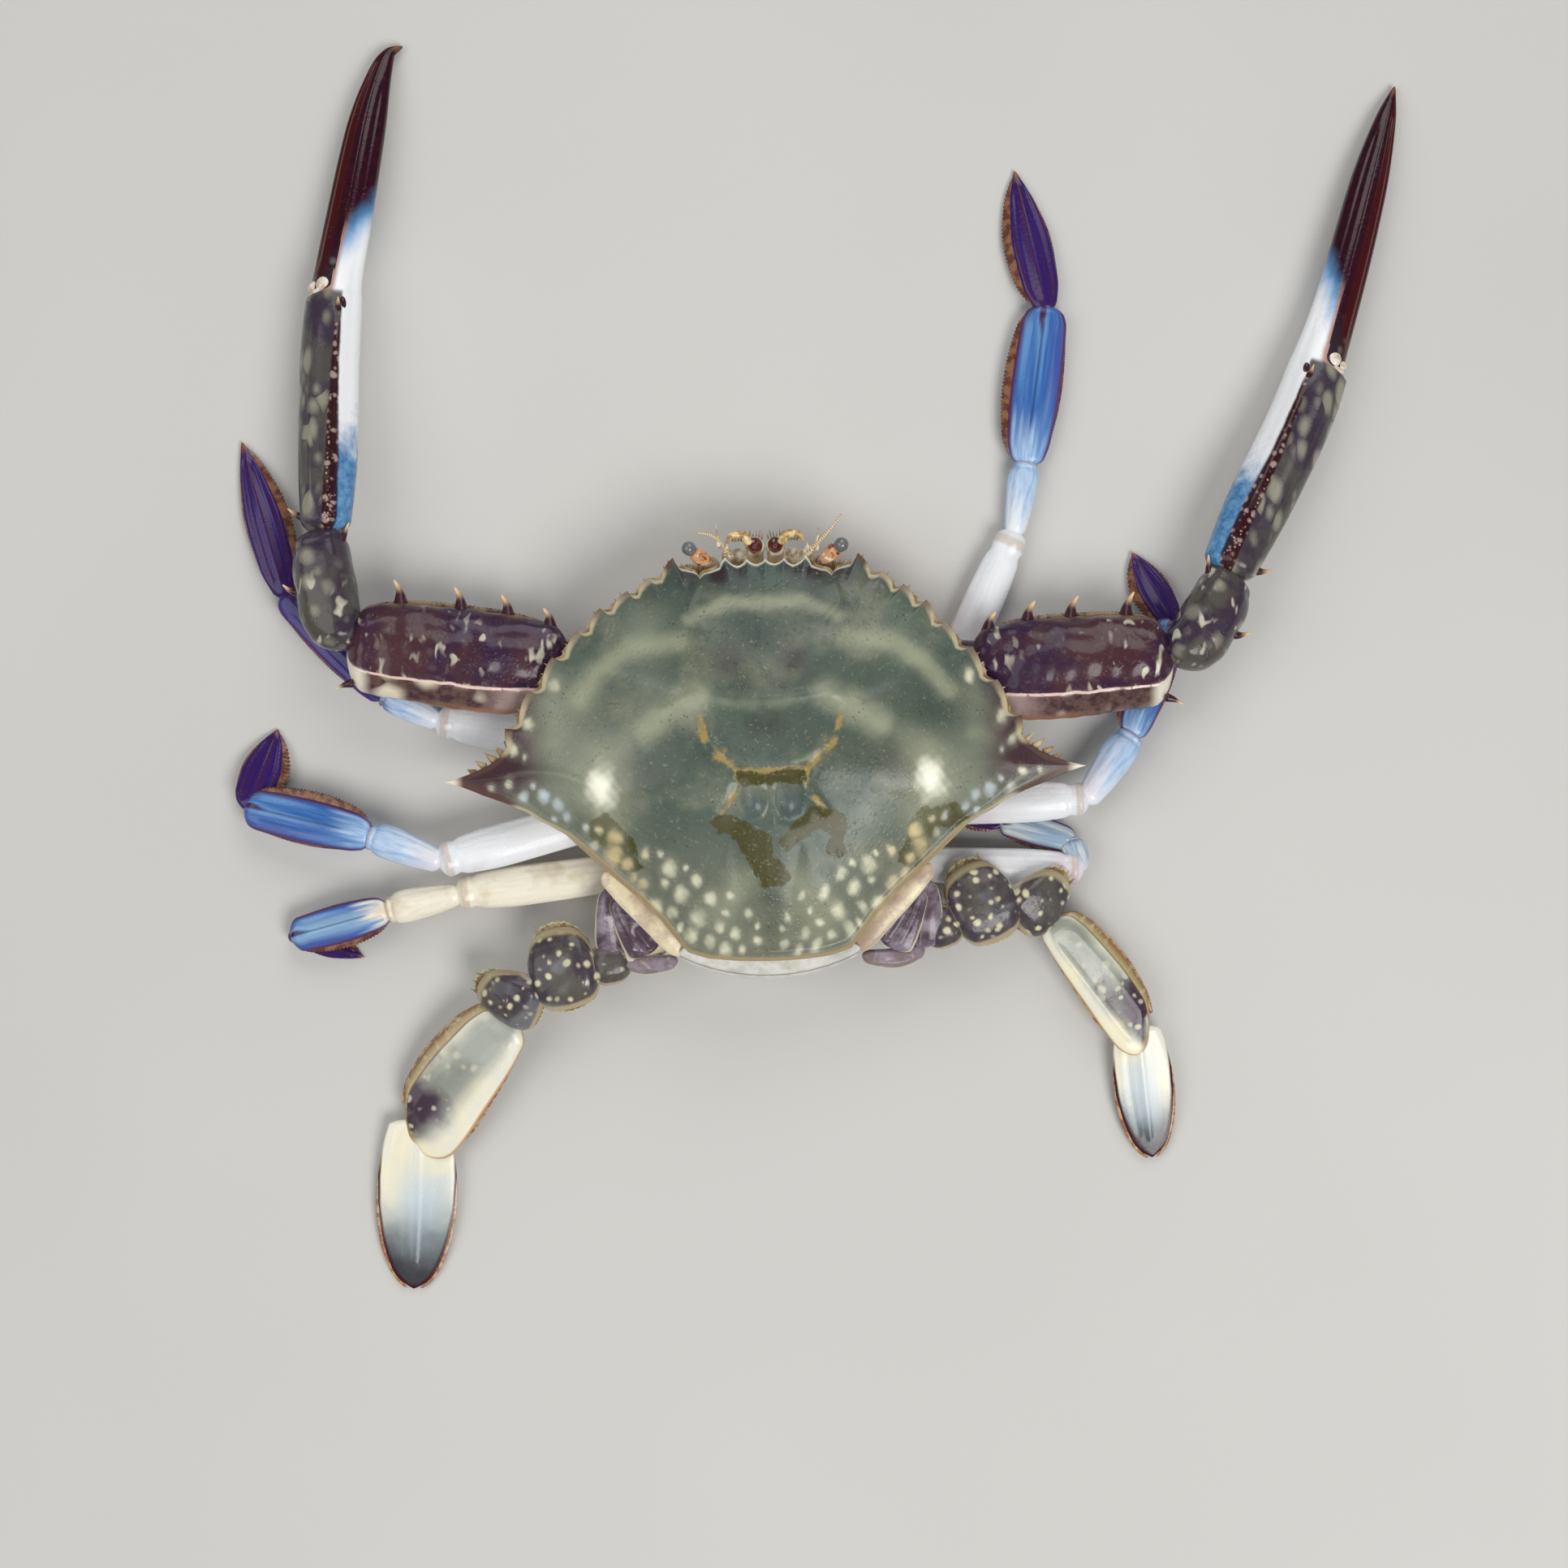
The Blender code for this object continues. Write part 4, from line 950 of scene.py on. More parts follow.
def carapace_paint(brush):
    """Green-grey back, paler behind, purple towards the spines, with cream marks and tan edge."""
    palette = sizes()
    ahead, out = brush.fields("ahead", "out")
    broad = brush.noise(34, 5, 0.5)
    fine = brush.noise(300, 4, 0.6)
    uneven = fine - 0.5
    soft = broad - 0.5
    back = broad.ease(0.32, 0.7).mix((0.084, 0.112, 0.09), palette.back_colour)
    drift = ahead + soft * 26
    rough_soft = soft * 0.8 + 1
    golden = (brush["groove"] + uneven * 1.8).ease(0.4, 0.95)
    torn = brush.noise(105, 5, 0.62) - 0.5
    strength = brush.noise(120, 2).ramp(0.35, 0.6, 0.45, 0.95)
    blotched = (brush["spot"] + (uneven * 0.45 + torn * 0.45)).ease(-0.02, 0.85)
    cool = out.ease(44, 56) * out.ease(72, 66) * ahead.ease(9, 3)
    cream = cool.mix(palette.cream_colour, (0.58, 0.66, 0.7))
    golden_side = out.ease(28, 38) * out.ease(50, 44)
    cream = (golden_side * 0.7).mix(cream, (0.74, 0.55, 0.24))
    back = back.coated(
        (brush.noise(58, 4, 0.5).ease(0.46, 0.66), (0.185, 0.2, 0.145)),
        (fine.ease(0.42, 0.7) * 0.4, (0.065, 0.085, 0.07)),
        (drift.ease(44, 57) * 0.85, (0.054, 0.086, 0.076)),
        (drift.ease(-10, -40) * 0.5, (0.23, 0.23, 0.165)),
        (out.ease(26, 50) * ahead.ease(30, 4) * 0.6, (0.25, 0.262, 0.2)),
        (brush["pale"] * rough_soft * 0.75, (0.295, 0.32, 0.24)),
        (brush["deep"] * rough_soft * 0.85, (0.042, 0.066, 0.052)),
        (brush["dark"] * 0.9, (0.042, 0.03, 0.036)),
        ((brush["band"] + soft * 0.9).ease(0, 1.25) * 0.9, (0.46, 0.48, 0.33)),
        (golden * brush.noise(210, 3, 0.6).ease(0.32, 0.52), (0.35, 0.26, 0.09)),
        (brush["bumps"] * 0.6, (0.085, 0.12, 0.145)),
        ((brush["wet"] + torn * 3.4).ease(0.12, 0.34) * 0.92, (0.068, 0.062, 0.014)),
        (brush.noise(900, 2).ease(0.6, 0.74) * 0.3, (0.4, 0.42, 0.33)),
        (out.ease(57, 70) * drift.ease(-12, 0) * 0.95, (0.058, 0.024, 0.034)),
        (brush.flecks(620), (0.02, 0.016, 0.012)),
        ((brush["spot"] + torn).ease(-0.8, 0.6) * 0.26, (0.4, 0.41, 0.32)))
    marked = (blotched * strength).mix(back, cream)
    front_thin = out.ease(27, 22) * 0.01
    rear_wide = ahead.ease(-10, -20) * 0.012
    edge = (brush["share"] + uneven * 0.012 - front_thin + rear_wide).ease(0.974, 0.988)
    rim_colour = brush["jut"].ease(0.35, 0.85).mix((0.6, 0.51, 0.34), (0.12, 0.065, 0.05))
    rim_colour = rim_colour.coated(
        (ahead.ease(-10, -20), (0.42, 0.32, 0.17)),
        (out.ease(25, 21) * ahead.ease(0, 10), (0.84, 0.82, 0.7)))
    return marked.coated(
        (brush["halo"] * 0.35, (0.5, 0.52, 0.36)),
        ((brush["bright"] + uneven * 0.5).ease(-0.45, 0.85), (1, 1, 0.84)),
        (edge * 0.85, rim_colour),
        (out.ease(84, 87.5), (0.84, 0.78, 0.62)),
        (brush["tan"], fine.ease(0.35, 0.65).mix((0.3, 0.18, 0.08), (0.62, 0.5, 0.3))))


# Underside

def underside_paint(brush):
    """Creamy white plates with tan stains."""
    stain = brush.noise(55, 5).ease(0.45, 0.7)
    plate = stain.mix((0.72, 0.67, 0.55), (0.48, 0.36, 0.22))
    fine = brush.noise(420, 4).ease(0.45, 0.75)
    return (fine * 0.5).mix(plate, (0.55, 0.52, 0.5))


def coxa_shell(root, stub, rows):
    """A limb's root: rounded sections along a stub that begins inside the body."""
    start = np.asarray(root, float) - aim(*stub[1:])[0] * stub[0]
    return shell_along(corners_from(start, [stub], (0, 1.2)), rows, (3, 2.5), 40, 26)


def swollen(first):
    """Rows of a limb's root: a little wider than the limb's first row, then down to it."""
    _place, fore, aft, up, down = first
    return [(0, fore * 1.15, aft * 1.15, up * 1.1, down * 1.1),
            (0.72, fore * 1.22, aft * 1.22, up * 1.15, down * 1.15), (1, fore, aft, up, down)]


def make_thorax():
    """Body under the carapace with the first joint of each limb.

    Each ring is the smooth outline times a width, stretched to the ring's front and rear; the
    grooves between the breast plates are bell curves across the lower surface.
    """
    levels = np.array([(21.9, 0.90, 54.5, -46.5), (20.8, 0.69, 53, -48), (15, 0.61, 52, -51),
                       (8, 0.53, 44, -49), (2.9, 0.43, 36.5, -42.5), (0.9, 0.33, 30, -35)])
    heights = np.r_[21.9, 21.6, np.linspace(20.8, 0.9, 40)]
    shape = smooth_through(-levels[:, 0], levels[:, 1:], -heights)
    angle = math.tau * (np.arange(180) + 0.5) / 180 - math.pi
    reach = smooth_reach(angle)
    front, rear = 59 - CENTRE_AHEAD, REAR_EDGE - CENTRE_AHEAD
    out = reach * np.sin(angle)
    offset = reach * np.cos(angle)
    rings = []
    for up, (width, ring_front, ring_rear) in zip(heights, shape):
        stretch = np.where(offset > 0, (ring_front - CENTRE_AHEAD) / front,
                           (ring_rear - CENTRE_AHEAD) / rear)
        rings.append(np.stack([out * width, CENTRE_AHEAD + offset * stretch,
                               np.full(len(angle), up)], -1))
    for share in np.linspace(1, 0, 28)[1:]:
        ring = rings[len(heights) - 1] * 1
        ring[:, 0] *= share
        ring[:, 1] = (ring[:, 1] + 2.5) * share - 2.5
        plates = sum(bell(ring[:, 1] - at + np.abs(ring[:, 0]) * 0.25, 0.7)
                     for at in (-30, -19, -8, 4, 16))
        ring[:, 2] = 0.8 + 0.5 * plates * smooth_step(3, 6, np.abs(ring[:, 0]))
        rings.append(ring)
    top = rings[0] * 1
    top[:] = top.mean(0)
    points = np.array([top, *rings])
    fields = {"along": np.zeros(points.shape[:2]), "height": points[..., 2] / 22}
    body = closed_shell(points, fields)
    for side in SIDES:
        stubs = [coxa_shell(ARM_ROOT, (16, 80, 0), swollen((0, 6, 6, 4, 4.4))),
                 coxa_shell(SWIM_POSES[side]["root"], (24, 140, 0),
                            [(0, 7, 7, 4, 6), (0.6, 8, 6.6, 4.2, 6), (1, 5.5, 4.4, 3.8, 4)])]
        for number, root in enumerate(LEG_ROOTS):
            merus = LEG_POSES[f"{side}_leg_{number + 1}"][0]
            first = scaled(LEG_SHAPES["merus"][:1], *merus[3:])[0]
            stubs.append(coxa_shell(root, (16, LEG_HEADINGS[number], 0), swollen(first)))
        if side == "left":
            make_piece("underbody", [body], "underside_plates", ["thorax"])
        make_piece(f"{side}_limb_roots", stubs, "underside_plates", ["thorax"], side)


def flank_paint(brush):
    """Pinkish cream plates with purple-brown blotches and white ridges."""
    broad = brush.noise(110, 4, 0.6, 0.4)
    glow = brush.noise(75, 2).ease(0.4, 0.6)
    plate = glow.mix((0.56, 0.43, 0.32), (0.86, 0.76, 0.52))
    recess = broad.ease(0.4, 0.62).mix((0.085, 0.052, 0.075), (0.3, 0.25, 0.3))
    recess = brush.noise(170, 3, 0.5, 0.8).ease(0.6, 0.76).mix(recess, (0.5, 0.45, 0.48))
    return plate.coated(
        (brush.noise(380, 4, 0.6).ease(0.4, 0.7) * 0.5, (0.42, 0.3, 0.26)),
        ((brush["dark"] + (broad - 0.5) * 0.7).ease(0.3, 0.62), recess),
        (abs(brush["across"]).ease(0.86, 0.97) * 0.85, (0.8, 0.7, 0.5)))


# Each plate beside the rear: corners of its line, rows, caps, sides, steps, ridges and shade
FLANK_PLATES = (
    (((46, -26.5, 24.4), (37.5, -35.5, 24), (30.5, -43, 23.2), (24.5, -50.2, 21.8)),
     ((0, 2.6, 1.6, 0.9, 1.2), (0.35, 3.4, 4.6, 1.3, 1.6), (0.75, 3.4, 4.8, 1.3, 1.6),
      (1, 2.4, 2.6, 1, 1.2)), (3, 3), 44, 80, (), 0),
    (((45.2, -31, 20), (43.6, -40, 19.8), (42.4, -50.4, 17.6)),
     ((0, 2.6, 1.8, 2, 2), (0.4, 5.4, 2.6, 2.8, 2.6), (0.8, 6.6, 2.4, 2.8, 2.6),
      (1, 4, 2, 2.2, 2.2)), (2.5, 2.5), 44, 70,
     ((120, 12, 0.6, 0.02, 0.98), (92, 16, -0.6, 0.05, 0.95)), 1),
    (((44, -50.6, 16.4), (35, -52.4, 18.4), (26, -52, 19.6)),
     ((0, 2.4, 2.6, 2, 2), (0.5, 3.6, 2.2, 2.2, 2.2), (1, 2.4, 1.6, 1.6, 1.6)), (2.5, 2.5), 44, 60,
     ((60, 14, 0.5, 0.02, 0.98),), 0.55),
    (((42.6, -33, 21.8), (38, -42, 21.4), (33, -49.4, 20.4)),
     ((0, 3.4, 3.2, 1.4, 2), (0.5, 5.4, 4.8, 1.8, 2), (0.85, 6.6, 5, 1.6, 2),
      (1, 5.6, 4.2, 1.4, 2)), (3, 3), 56, 70,
     ((70, 9, 0.6, 0.1, 0.98), (92, 14, -0.7, 0.1, 0.98), (118, 9, 0.5, 0.1, 0.98)), 0.75),
)


def make_flanks():
    """Plates beside the carapace's rear: along its edge and over each paddle limb's root."""
    for side in SIDES:
        plates = [shell_along(corners, rows, caps, sides, steps, relief=bumps(*ridges),
                              fields={"dark": shade})
                  for corners, rows, caps, sides, steps, ridges, shade in FLANK_PLATES]
        make_piece(f"{side}_flank_plates", plates, "flank_plates", ["thorax"], side)


def tail_paint(brush):
    """Pale plates of the folded tail with darker joints."""
    fine = brush.noise(260, 4)
    plate = fine.ease(0.4, 0.65).mix((0.8, 0.8, 0.78), (0.68, 0.66, 0.58))
    return plate.coated(
        (brush.noise(90, 4).ease(0.48, 0.66) * 0.4, (0.3, 0.31, 0.28)),
        (brush["joint"], (0.17, 0.12, 0.07)))


TAIL_PATH = ((-50.8, 26.4, 22), (-55.2, 22.6, 25.5), (-57, 16, 24.5), (-54.2, 8.2, 18),
             (-46, 2.6, 13.5), (-36, 1.25, 11.5), (-20, 1.25, 8), (-4, 1.25, 6), (8, 1.25, 2))
TAIL_JOINTS = (0.09, 0.16, 0.23, 0.36, 0.52, 0.74)


def make_tail():
    """The abdomen: a thin strap folded round the rear end, with a groove at each of its joints."""
    path = np.array([(0, ahead, up) for ahead, up, _half in TAIL_PATH])
    walked = walked_along(path)
    share = walked / walked[-1]
    place = np.linspace(0, 1, 190)
    centre = smooth_through(share, path, place)
    half = smooth_through(share, [row[2] for row in TAIL_PATH], place)[:, 0]
    half = half * rounding(place, walked[-1], (1.2, 4))
    along = unit(np.gradient(centre, axis=0))
    outward = np.stack([np.zeros(len(place)), along[:, 2], -along[:, 1]], 1)
    joint = sum(bell(place - at, 0.006) for at in TAIL_JOINTS)
    angle = round_angles(72)
    c, s = np.cos(angle), np.sin(angle)
    across = signed_power(c, 0.8) * (half * (1 - 0.03 * joint))[:, None]
    thick = 1.1 * rounding(place, walked[-1], (1.2, 2))[:, None] * (1 - 0.35 * joint[:, None])
    height = signed_power(s, 0.6) * thick
    points = centre[:, None] + height[..., None] * outward[:, None]
    points[..., 0] = across
    bend = 5.5 * smooth_step(0.52, 0.12, place)[:, None]
    points[..., 1] += bend * (across / 25.5) ** 2
    points[..., 2] = np.maximum(points[..., 2], 0)
    fields = {"joint": np.clip(joint[:, None], 0, 1) * np.ones_like(across),
              "along": place[:, None] * np.ones_like(across)}
    make_piece("tail_strap", [closed_shell(points, fields)], "tail_plates", ["abdomen"])


def mouth_paint(brush):
    """Cream plates with hazy tan edges."""
    stain = brush.noise(130, 4).ease(0.42, 0.62)
    return stain.mix((0.74, 0.7, 0.58), (0.45, 0.33, 0.2))


def make_mouth_plates():
    """Third maxillipeds: a long and a short plate, a palp inside and a thin outer rod."""
    low, high = np.array((7, 34.6, 2.6)), np.array((7, 50.6, 14))
    along = unit(high - low)
    normal = np.cross((1, 0, 0), along)

    def at(out, walked, lift):
        return low + np.array((out - 7, 0, 0)) + along * walked + normal * lift

    for side in SIDES:
        rows = [(0, 4.4, 3.6, 1.2, 1.2), (0.3, 4.6, 4.2, 1.5, 1.3), (0.8, 4.6, 4.4, 1.5, 1.3),
                (1, 4.2, 4, 1.2, 1.2)]
        groove = bumps((270, 20, -0.5, 0.1, 0.95))
        long_plate = shell_along([at(5.8, 0.4, 0), at(6, 11.4, 0)], rows, (2.4, 1.2), 48, 50, 0.7,
                                 groove)
        short = shell_along([at(6, 11.8, 0), at(6.4, 18.8, 0)],
                            [(0, 4.2, 3.9, 1.2, 1.2), (0.5, 4.7, 4.6, 1.4, 1.3),
                             (1, 3, 3.6, 1.1, 1.1)], (1.2, 2.2), 48, 40, 0.75, groove)
        palp = shell_along([at(4.4, 18, -0.9), at(3, 14.5, -1.3), at(2.7, 9, -1.2)],
                           [(0, 1.2, 0.8), (0.6, 1, 0.7), (1, 0.4)], (1, 1), 20, 30)
        rod = shell_along([at(11.4, 0.8, -0.2), at(11.9, 8, -0.2), at(11.2, 15.5, -0.1)],
                          [(0, 1.2, 1), (0.7, 0.9, 0.8), (1, 0.4)], (1.2, 0.8), 20, 40)
        side_piece(side, "mouth_plates", [long_plate, short, palp, rod], "mouth_plates",
                   "maxilliped")


# Head

EYE_PLACE = (21.2, 63.4, 28.4)
STALK_ROOT = (14.6, 58.4, 23.6)
FEELERS = {
    "left": ((9.2, 56.6, 21.6), (10.6, 61.8, 24.4), (12.8, 65.4, 27.4), (15.8, 67.2, 29),
             (19, 67.6, 30)),
    "right": ((9.8, 56.6, 21.6), (11.6, 61.6, 24.4), (14.4, 63.8, 27.4), (17.6, 67, 29),
              (21.6, 71.8, 30)),
}


def eye_paint(brush):
    """Grey facets, darker in their gaps and towards the top."""
    cells = brush.cells(3600)
    facet = cells.ease(0.2, 0.6).mix((0.3, 0.3, 0.28), (0.13, 0.135, 0.14))
    haze = brush.noise(420, 2).ease(0.35, 0.65)
    return (haze * 0.6).mix(facet, (0.105, 0.115, 0.135))


def stalk_paint(brush):
    """Amber shell with maroon and cream blotches."""
    blotch = brush.noise(420, 3, 0.5, 0.6)
    amber = blotch.ease(0.54, 0.64).mix((0.62, 0.33, 0.16), (0.2, 0.035, 0.02))
    tissue = blotch.ease(0.44, 0.58).mix((0.46, 0.36, 0.24), (0.15, 0.04, 0.028))
    return amber.coated(
        (blotch.ease(0.42, 0.34), (0.82, 0.74, 0.56)),
        (brush["along"].ease(0.52, 0.36), tissue))


def make_eyes():
    """Each eye is an ellipsoid on a swollen stalk that leaves the orbit."""
    centre, root = np.array(EYE_PLACE), np.array(STALK_ROOT)
    along = unit(centre - root)
    for side in SIDES:
        ball = shell_along([centre - along * 2.3, centre + along * 2.2],
                           [(0, 2.1), (1, 2)], (2.6, 1.9), 56, 44)
        stalk = shell_along([root - along, root + along * 4, centre - along * 1.3],
                            [(0, 1.5, 1.4), (0.3, 1.7, 1.6), (0.62, 2.1, 1.9),
                             (0.85, 2.2, 2), (1, 1.7, 1.6)], (1, 1), 40, 50)
        side_piece(side, "eye_ball", [ball], "eye_surface", "eye")
        side_piece(side, "eye_stalk", [stalk], "eyestalk_shell", "eyestalk")


def feeler_paint(brush):
    """Amber-brown rings on a cream feeler, and cream on its base."""
    rings = (brush["along"] * 190).maths("SINE")
    feeler = rings.ease(-0.3, 0.5).mix((0.46, 0.3, 0.14), (0.78, 0.66, 0.46))
    mottle = brush.noise(520, 4).ease(0.4, 0.62)
    base = mottle.mix((0.74, 0.68, 0.52), (0.34, 0.24, 0.15))
    colour = brush["along"].ease(0.34, 0.42).mix(base, feeler)
    return colour.coated(
        (brush["hollow"], mottle.mix((0.055, 0.005, 0.003), (0.12, 0.015, 0.008))),
        (brush["golden"], mottle.mix((0.78, 0.6, 0.3), (0.36, 0.22, 0.08))),
        (brush["hair"], mottle.mix((0.34, 0.23, 0.11), (0.16, 0.1, 0.05))))


def dish(centre, radii, tilt):
    """A round dish facing up and forward: an ellipsoid whose upper middle is pushed in."""
    lat = np.pi * (np.arange(31) / 30 - 0.5)[:, None]
    lon = round_angles(40)
    level = np.cos(lat)
    push = 0.55 * smooth_step(0.75, 0.25, level) * (np.sin(lat) > 0)
    x, y = level * np.cos(lon) * radii[0], level * np.sin(lon) * radii[1]
    z = (np.sin(lat) * (1 - push) + 0 * lon) * radii[2]
    c, s = math.cos(tilt), math.sin(tilt)
    points = np.stack([x, y * c + z * s, z * c - y * s], -1) + np.asarray(centre, float)
    hollow = smooth_step(0.86, 0.74, level) * (np.sin(lat) > 0) + 0 * lon
    fields = {name: np.zeros_like(x) for name in ("golden", "hair", "along")}
    return closed_shell(points, {"hollow": hollow, **fields})


def make_feelers():
    """Long feelers with their base joints, short folded feelers, and hair beside the orbits."""
    tube = [(0, 2.3, 2), (0.22, 2, 1.8), (0.36, 1.7, 1.5),
            (0.42, 0.62, 0.6), (0.75, 0.42), (1, 0.28)]
    plain = {"hollow": 0, "golden": 0, "hair": 0}
    based = {**plain, "along": 0}
    hairy = {**based, "hair": 1}
    four_rings = lambda place, angle: -0.14 * bell((place * 4) % 1 - 0.5, 0.1)
    for side in SIDES:
        path = np.array(FEELERS[side])
        base = path[2] - (path[2] - path[1]) * 0.2
        spikes = [spike(base + (0.6, -0.6, 0), (0.1, 1, 0.3), 6.2, 0.8, fields=based),
                  spike(base + (-1.6, -1.2, 0), (-0.25, 1, 0.35), 2.6, 0.6, fields=based)]
        hair = [spike((17 + 1.1 * k, 56.6 - 0.12 * k, 24.6),
                      (0.15 * k - 0.4, 1, 0.25 + 0.1 * (k % 2)), 3.2 + 0.5 * ((k * 7) % 3), 0.55,
                      fields=hairy) for k in range(7)]
        long_feeler = shell_along(path, tube, (1.5, 0.3), 28, 120, fields=plain)
        side_piece(side, "long_feeler", [long_feeler, *spikes, *hair], "feeler_shell", "antenna")
        stem = shell_along([(3, 56.6, 21.6), (3, 61, 23), (3, 63.2, 23.6)],
                           [(0, 2.5, 2.3, 1.8, 1.8), (1, 2.5, 2.3, 1.8, 1.8)], (1, 1.2), 28, 30,
                           fields=plain)
        golden = shell_along([(4.4, 64.2, 25.6), (6.2, 67.1, 27.2), (9, 67, 27.8),
                              (10.9, 64.6, 27.2)],
                             [(0, 1.35, 1.1), (0.4, 1.2, 1), (0.7, 1, 0.85), (1, 0.35, 0.3)],
                             (0.8, 0.8), 24, 60, relief=four_rings, fields={**plain, "golden": 1})
        cup = dish((2.85, 63.7, 25), (2.7, 3, 2.3), 0.22)
        lobes = [bead((7.7, 60.9, 22.2), (2.5, 2.9, 2), {**plain, "bead": 0}, 28, 20, -0.3),
                 bead((5.3, 60.6, 22), (1.6, 2.2, 1.7), {**plain, "bead": 0}, 24, 16)]
        fuzz = [spike((1 + 0.8 * k, 66 - 0.04 * k, 23.6), (0.07 * (k - 4), 1, 0.15 + 0.1 * (k % 2)),
                      2 + 0.5 * ((k * 5) % 3), 0.36, fields=hairy) for k in range(11)]
        side_piece(side, "short_feeler", [stem, cup, golden, *lobes, *fuzz], "feeler_shell",
                   "antennule")
        floor = shell_along([(25.2, 56.6, 21.2), (19, 57.2, 20.6), (12.6, 58.6, 20.8)],
                            [(0, 2.4, 2.2, 1.2, 1.2), (0.5, 3, 3.4, 1.3, 1.3),
                             (1, 3.6, 3.8, 1.6, 1.6)], (2, 2), 44, 50, fields=plain)
        side_piece(side, "orbit_floor", [floor], "feeler_shell", "antenna")


# Arms and claws

ARM_ROWS = {
    "ischium": ((0, 6, 6, 4, 4.4), (0.6, 8, 8, 4.2, 4.6), (1, 8.5, 8.5, 4.4, 4.6)),
    "merus": ((0, 8.5, 4.6), (0.12, 12, 13, 5.4, 5), (0.35, 13.5, 15.2, 7.6, 6.6),
              (0.7, 13.8, 14, 8.2, 7.6), (0.93, 12, 12.4, 7.8, 7.4), (1, 9.6, 11, 7, 6.8)),
    "carpus": ((0, 5.8, 7.2, 6.6, 6.4), (0.34, 6.2, 11, 8.2, 7.2), (0.66, 6.6, 10.6, 8, 7),
               (1, 6.4, 7.4, 6.8, 6.4)),
}
FINGER_ROWS = ((0, 1, 0.72), (0.3, 0.97, 0.6), (0.62, 0.84, 0.48), (0.88, 0.45, 0.26),
               (1, 0.06, 0.07))


def surface_point(corners, rows, place, angle, stand=0):
    """A point of a limb's surface, with the along, fore and up directions there."""
    centre, along, fore, up, _total = line_frame(corners, np.array([float(place)]))
    shape = section_at(rows, [place])[0]
    turn = math.radians(angle)
    c, s = math.cos(turn), math.sin(turn)
    across = c * ((shape[0] if c > 0 else shape[1]) + stand)
    height = s * ((shape[2] if s > 0 else shape[3]) + stand)
    return centre[0] + fore[0] * across + up[0] * height, along[0], fore[0], up[0]


def thorn(line, rows, place, angle, stand, way, size, bend, fields, sides=20, steps=16):
    """A spike on a limb; way and bend are shares of its along, fore and up directions."""
    base, *axes = surface_point(line, rows, place, angle, stand)
    return spike(base, way @ np.array(axes), *size, bend @ np.array(axes), fields, sides, steps)


def arm_paint(brush):
    """Purple-brown upper side with cream spots, a pale ridge, and a blotched rear panel."""
    palette = sizes()
    along, across, merus = brush.fields("along", "across", "merus")
    broad = brush.noise(70, 5, 0.6, 0.4)
    fine = brush.noise(380, 4, 0.6)
    uneven = (broad - 0.5) * 0.5
    skin = broad.ease(0.36, 0.62).mix(palette.arm_colour, (0.07, 0.026, 0.034))
    wrist = broad.ease(0.4, 0.58).mix((0.046, 0.03, 0.052), (0.085, 0.078, 0.068))
    thrown = brush.stretched(1.5, 0.8, 1)
    where = brush.noise(60, 1).ease(0.34, 0.55)
    panel_at = across + uneven * 0.25
    panel = fine.ease(0.35, 0.6).mix((0.062, 0.028, 0.036), (0.14, 0.078, 0.066))
    panel = panel.coated(
        (brush.spots(105, 0.52, 0.42), (0.84, 0.76, 0.58)),
        (along.ease(0.42, 0.2) * 0.6, (0.6, 0.46, 0.44)),
        (along.ease(0.75, 0.35) * across.ease(-0.88, -0.96) * 0.7, (0.4, 0.17, 0.07)))
    off = abs(panel_at + 0.54)
    line = off.ease(0.038, 0.01) * merus
    line = line * fine.ease(0.3, 0.45)
    hair = fine.ease(0.4, 0.6).mix((0.09, 0.05, 0.028), (0.34, 0.22, 0.12))
    tip = brush["tip"].ease(0.5, 0.92).mix((0.05, 0.014, 0.022), (0.86, 0.6, 0.34))
    return skin.coated(
        (fine.ease(0.55, 0.75) * 0.6, (0.15, 0.11, 0.1)),
        (merus.ease(0.6, 0.4), wrist),
        (thrown.noise(240, 1, 0.4, 0.35).ease(0.6, 0.72) * where, (0.56, 0.52, 0.42)),
        (brush.spots(165, 0.48, 0.4) * 0.52 * merus.ease(0.6, 0.4), (0.4, 0.38, 0.29)),
        (panel_at.ease(-0.5, -0.58) * merus, panel),
        (line * 0.9, (0.88, 0.66, 0.58)),
        (along.ease(0.86, 0.93) * panel_at.ease(-0.45, -0.62) * merus, (0.86, 0.8, 0.66)),
        ((across + uneven).ease(0.9, 1) * merus * 0.8, (0.2, 0.115, 0.055)),
        (brush["height"].ease(-0.15, -0.6), (0.6, 0.58, 0.6)),
        (brush["hair"], hair),
        (brush["spike"], tip))


def merus_relief(place, angle):
    """A pale ridge and a groove before it on the upper rear side, and faint waves."""
    ridges = bumps((123, 7, 0.55, 0, 1), (108, 12, -0.5, 0.05, 0.95), (62, 10, -0.35, 0.1, 0.9))
    return (ridges(place, angle)
            + 0.16 * np.sin(place * 23 + angle * 3) * np.sin(place * 9 - angle * 5 + 1)
            + 0.16 * np.sin(place * 41 - angle * 4 + 2) * np.sin(place * 17 + angle * 7))


def arm_lines(side):
    """Bent lines of the ischium, merus, carpus and palm, each starting where the last ends."""
    lines = [[ARM_ROOT]]
    for kind in ("ischium", "merus", "carpus", "palm"):
        lines.append(corners_from(lines[-1][-1], [ARM_POSES[side][kind]]))
    return lines[1:]


def stretched(corners, near, far):
    """The same line drawn out at both ends by so many millimetres."""
    corners = np.array(corners, float)
    first, last = unit(corners[0] - corners[1]), unit(corners[-1] - corners[-2])
    corners[0] += first * near
    corners[-1] += last * far
    return corners


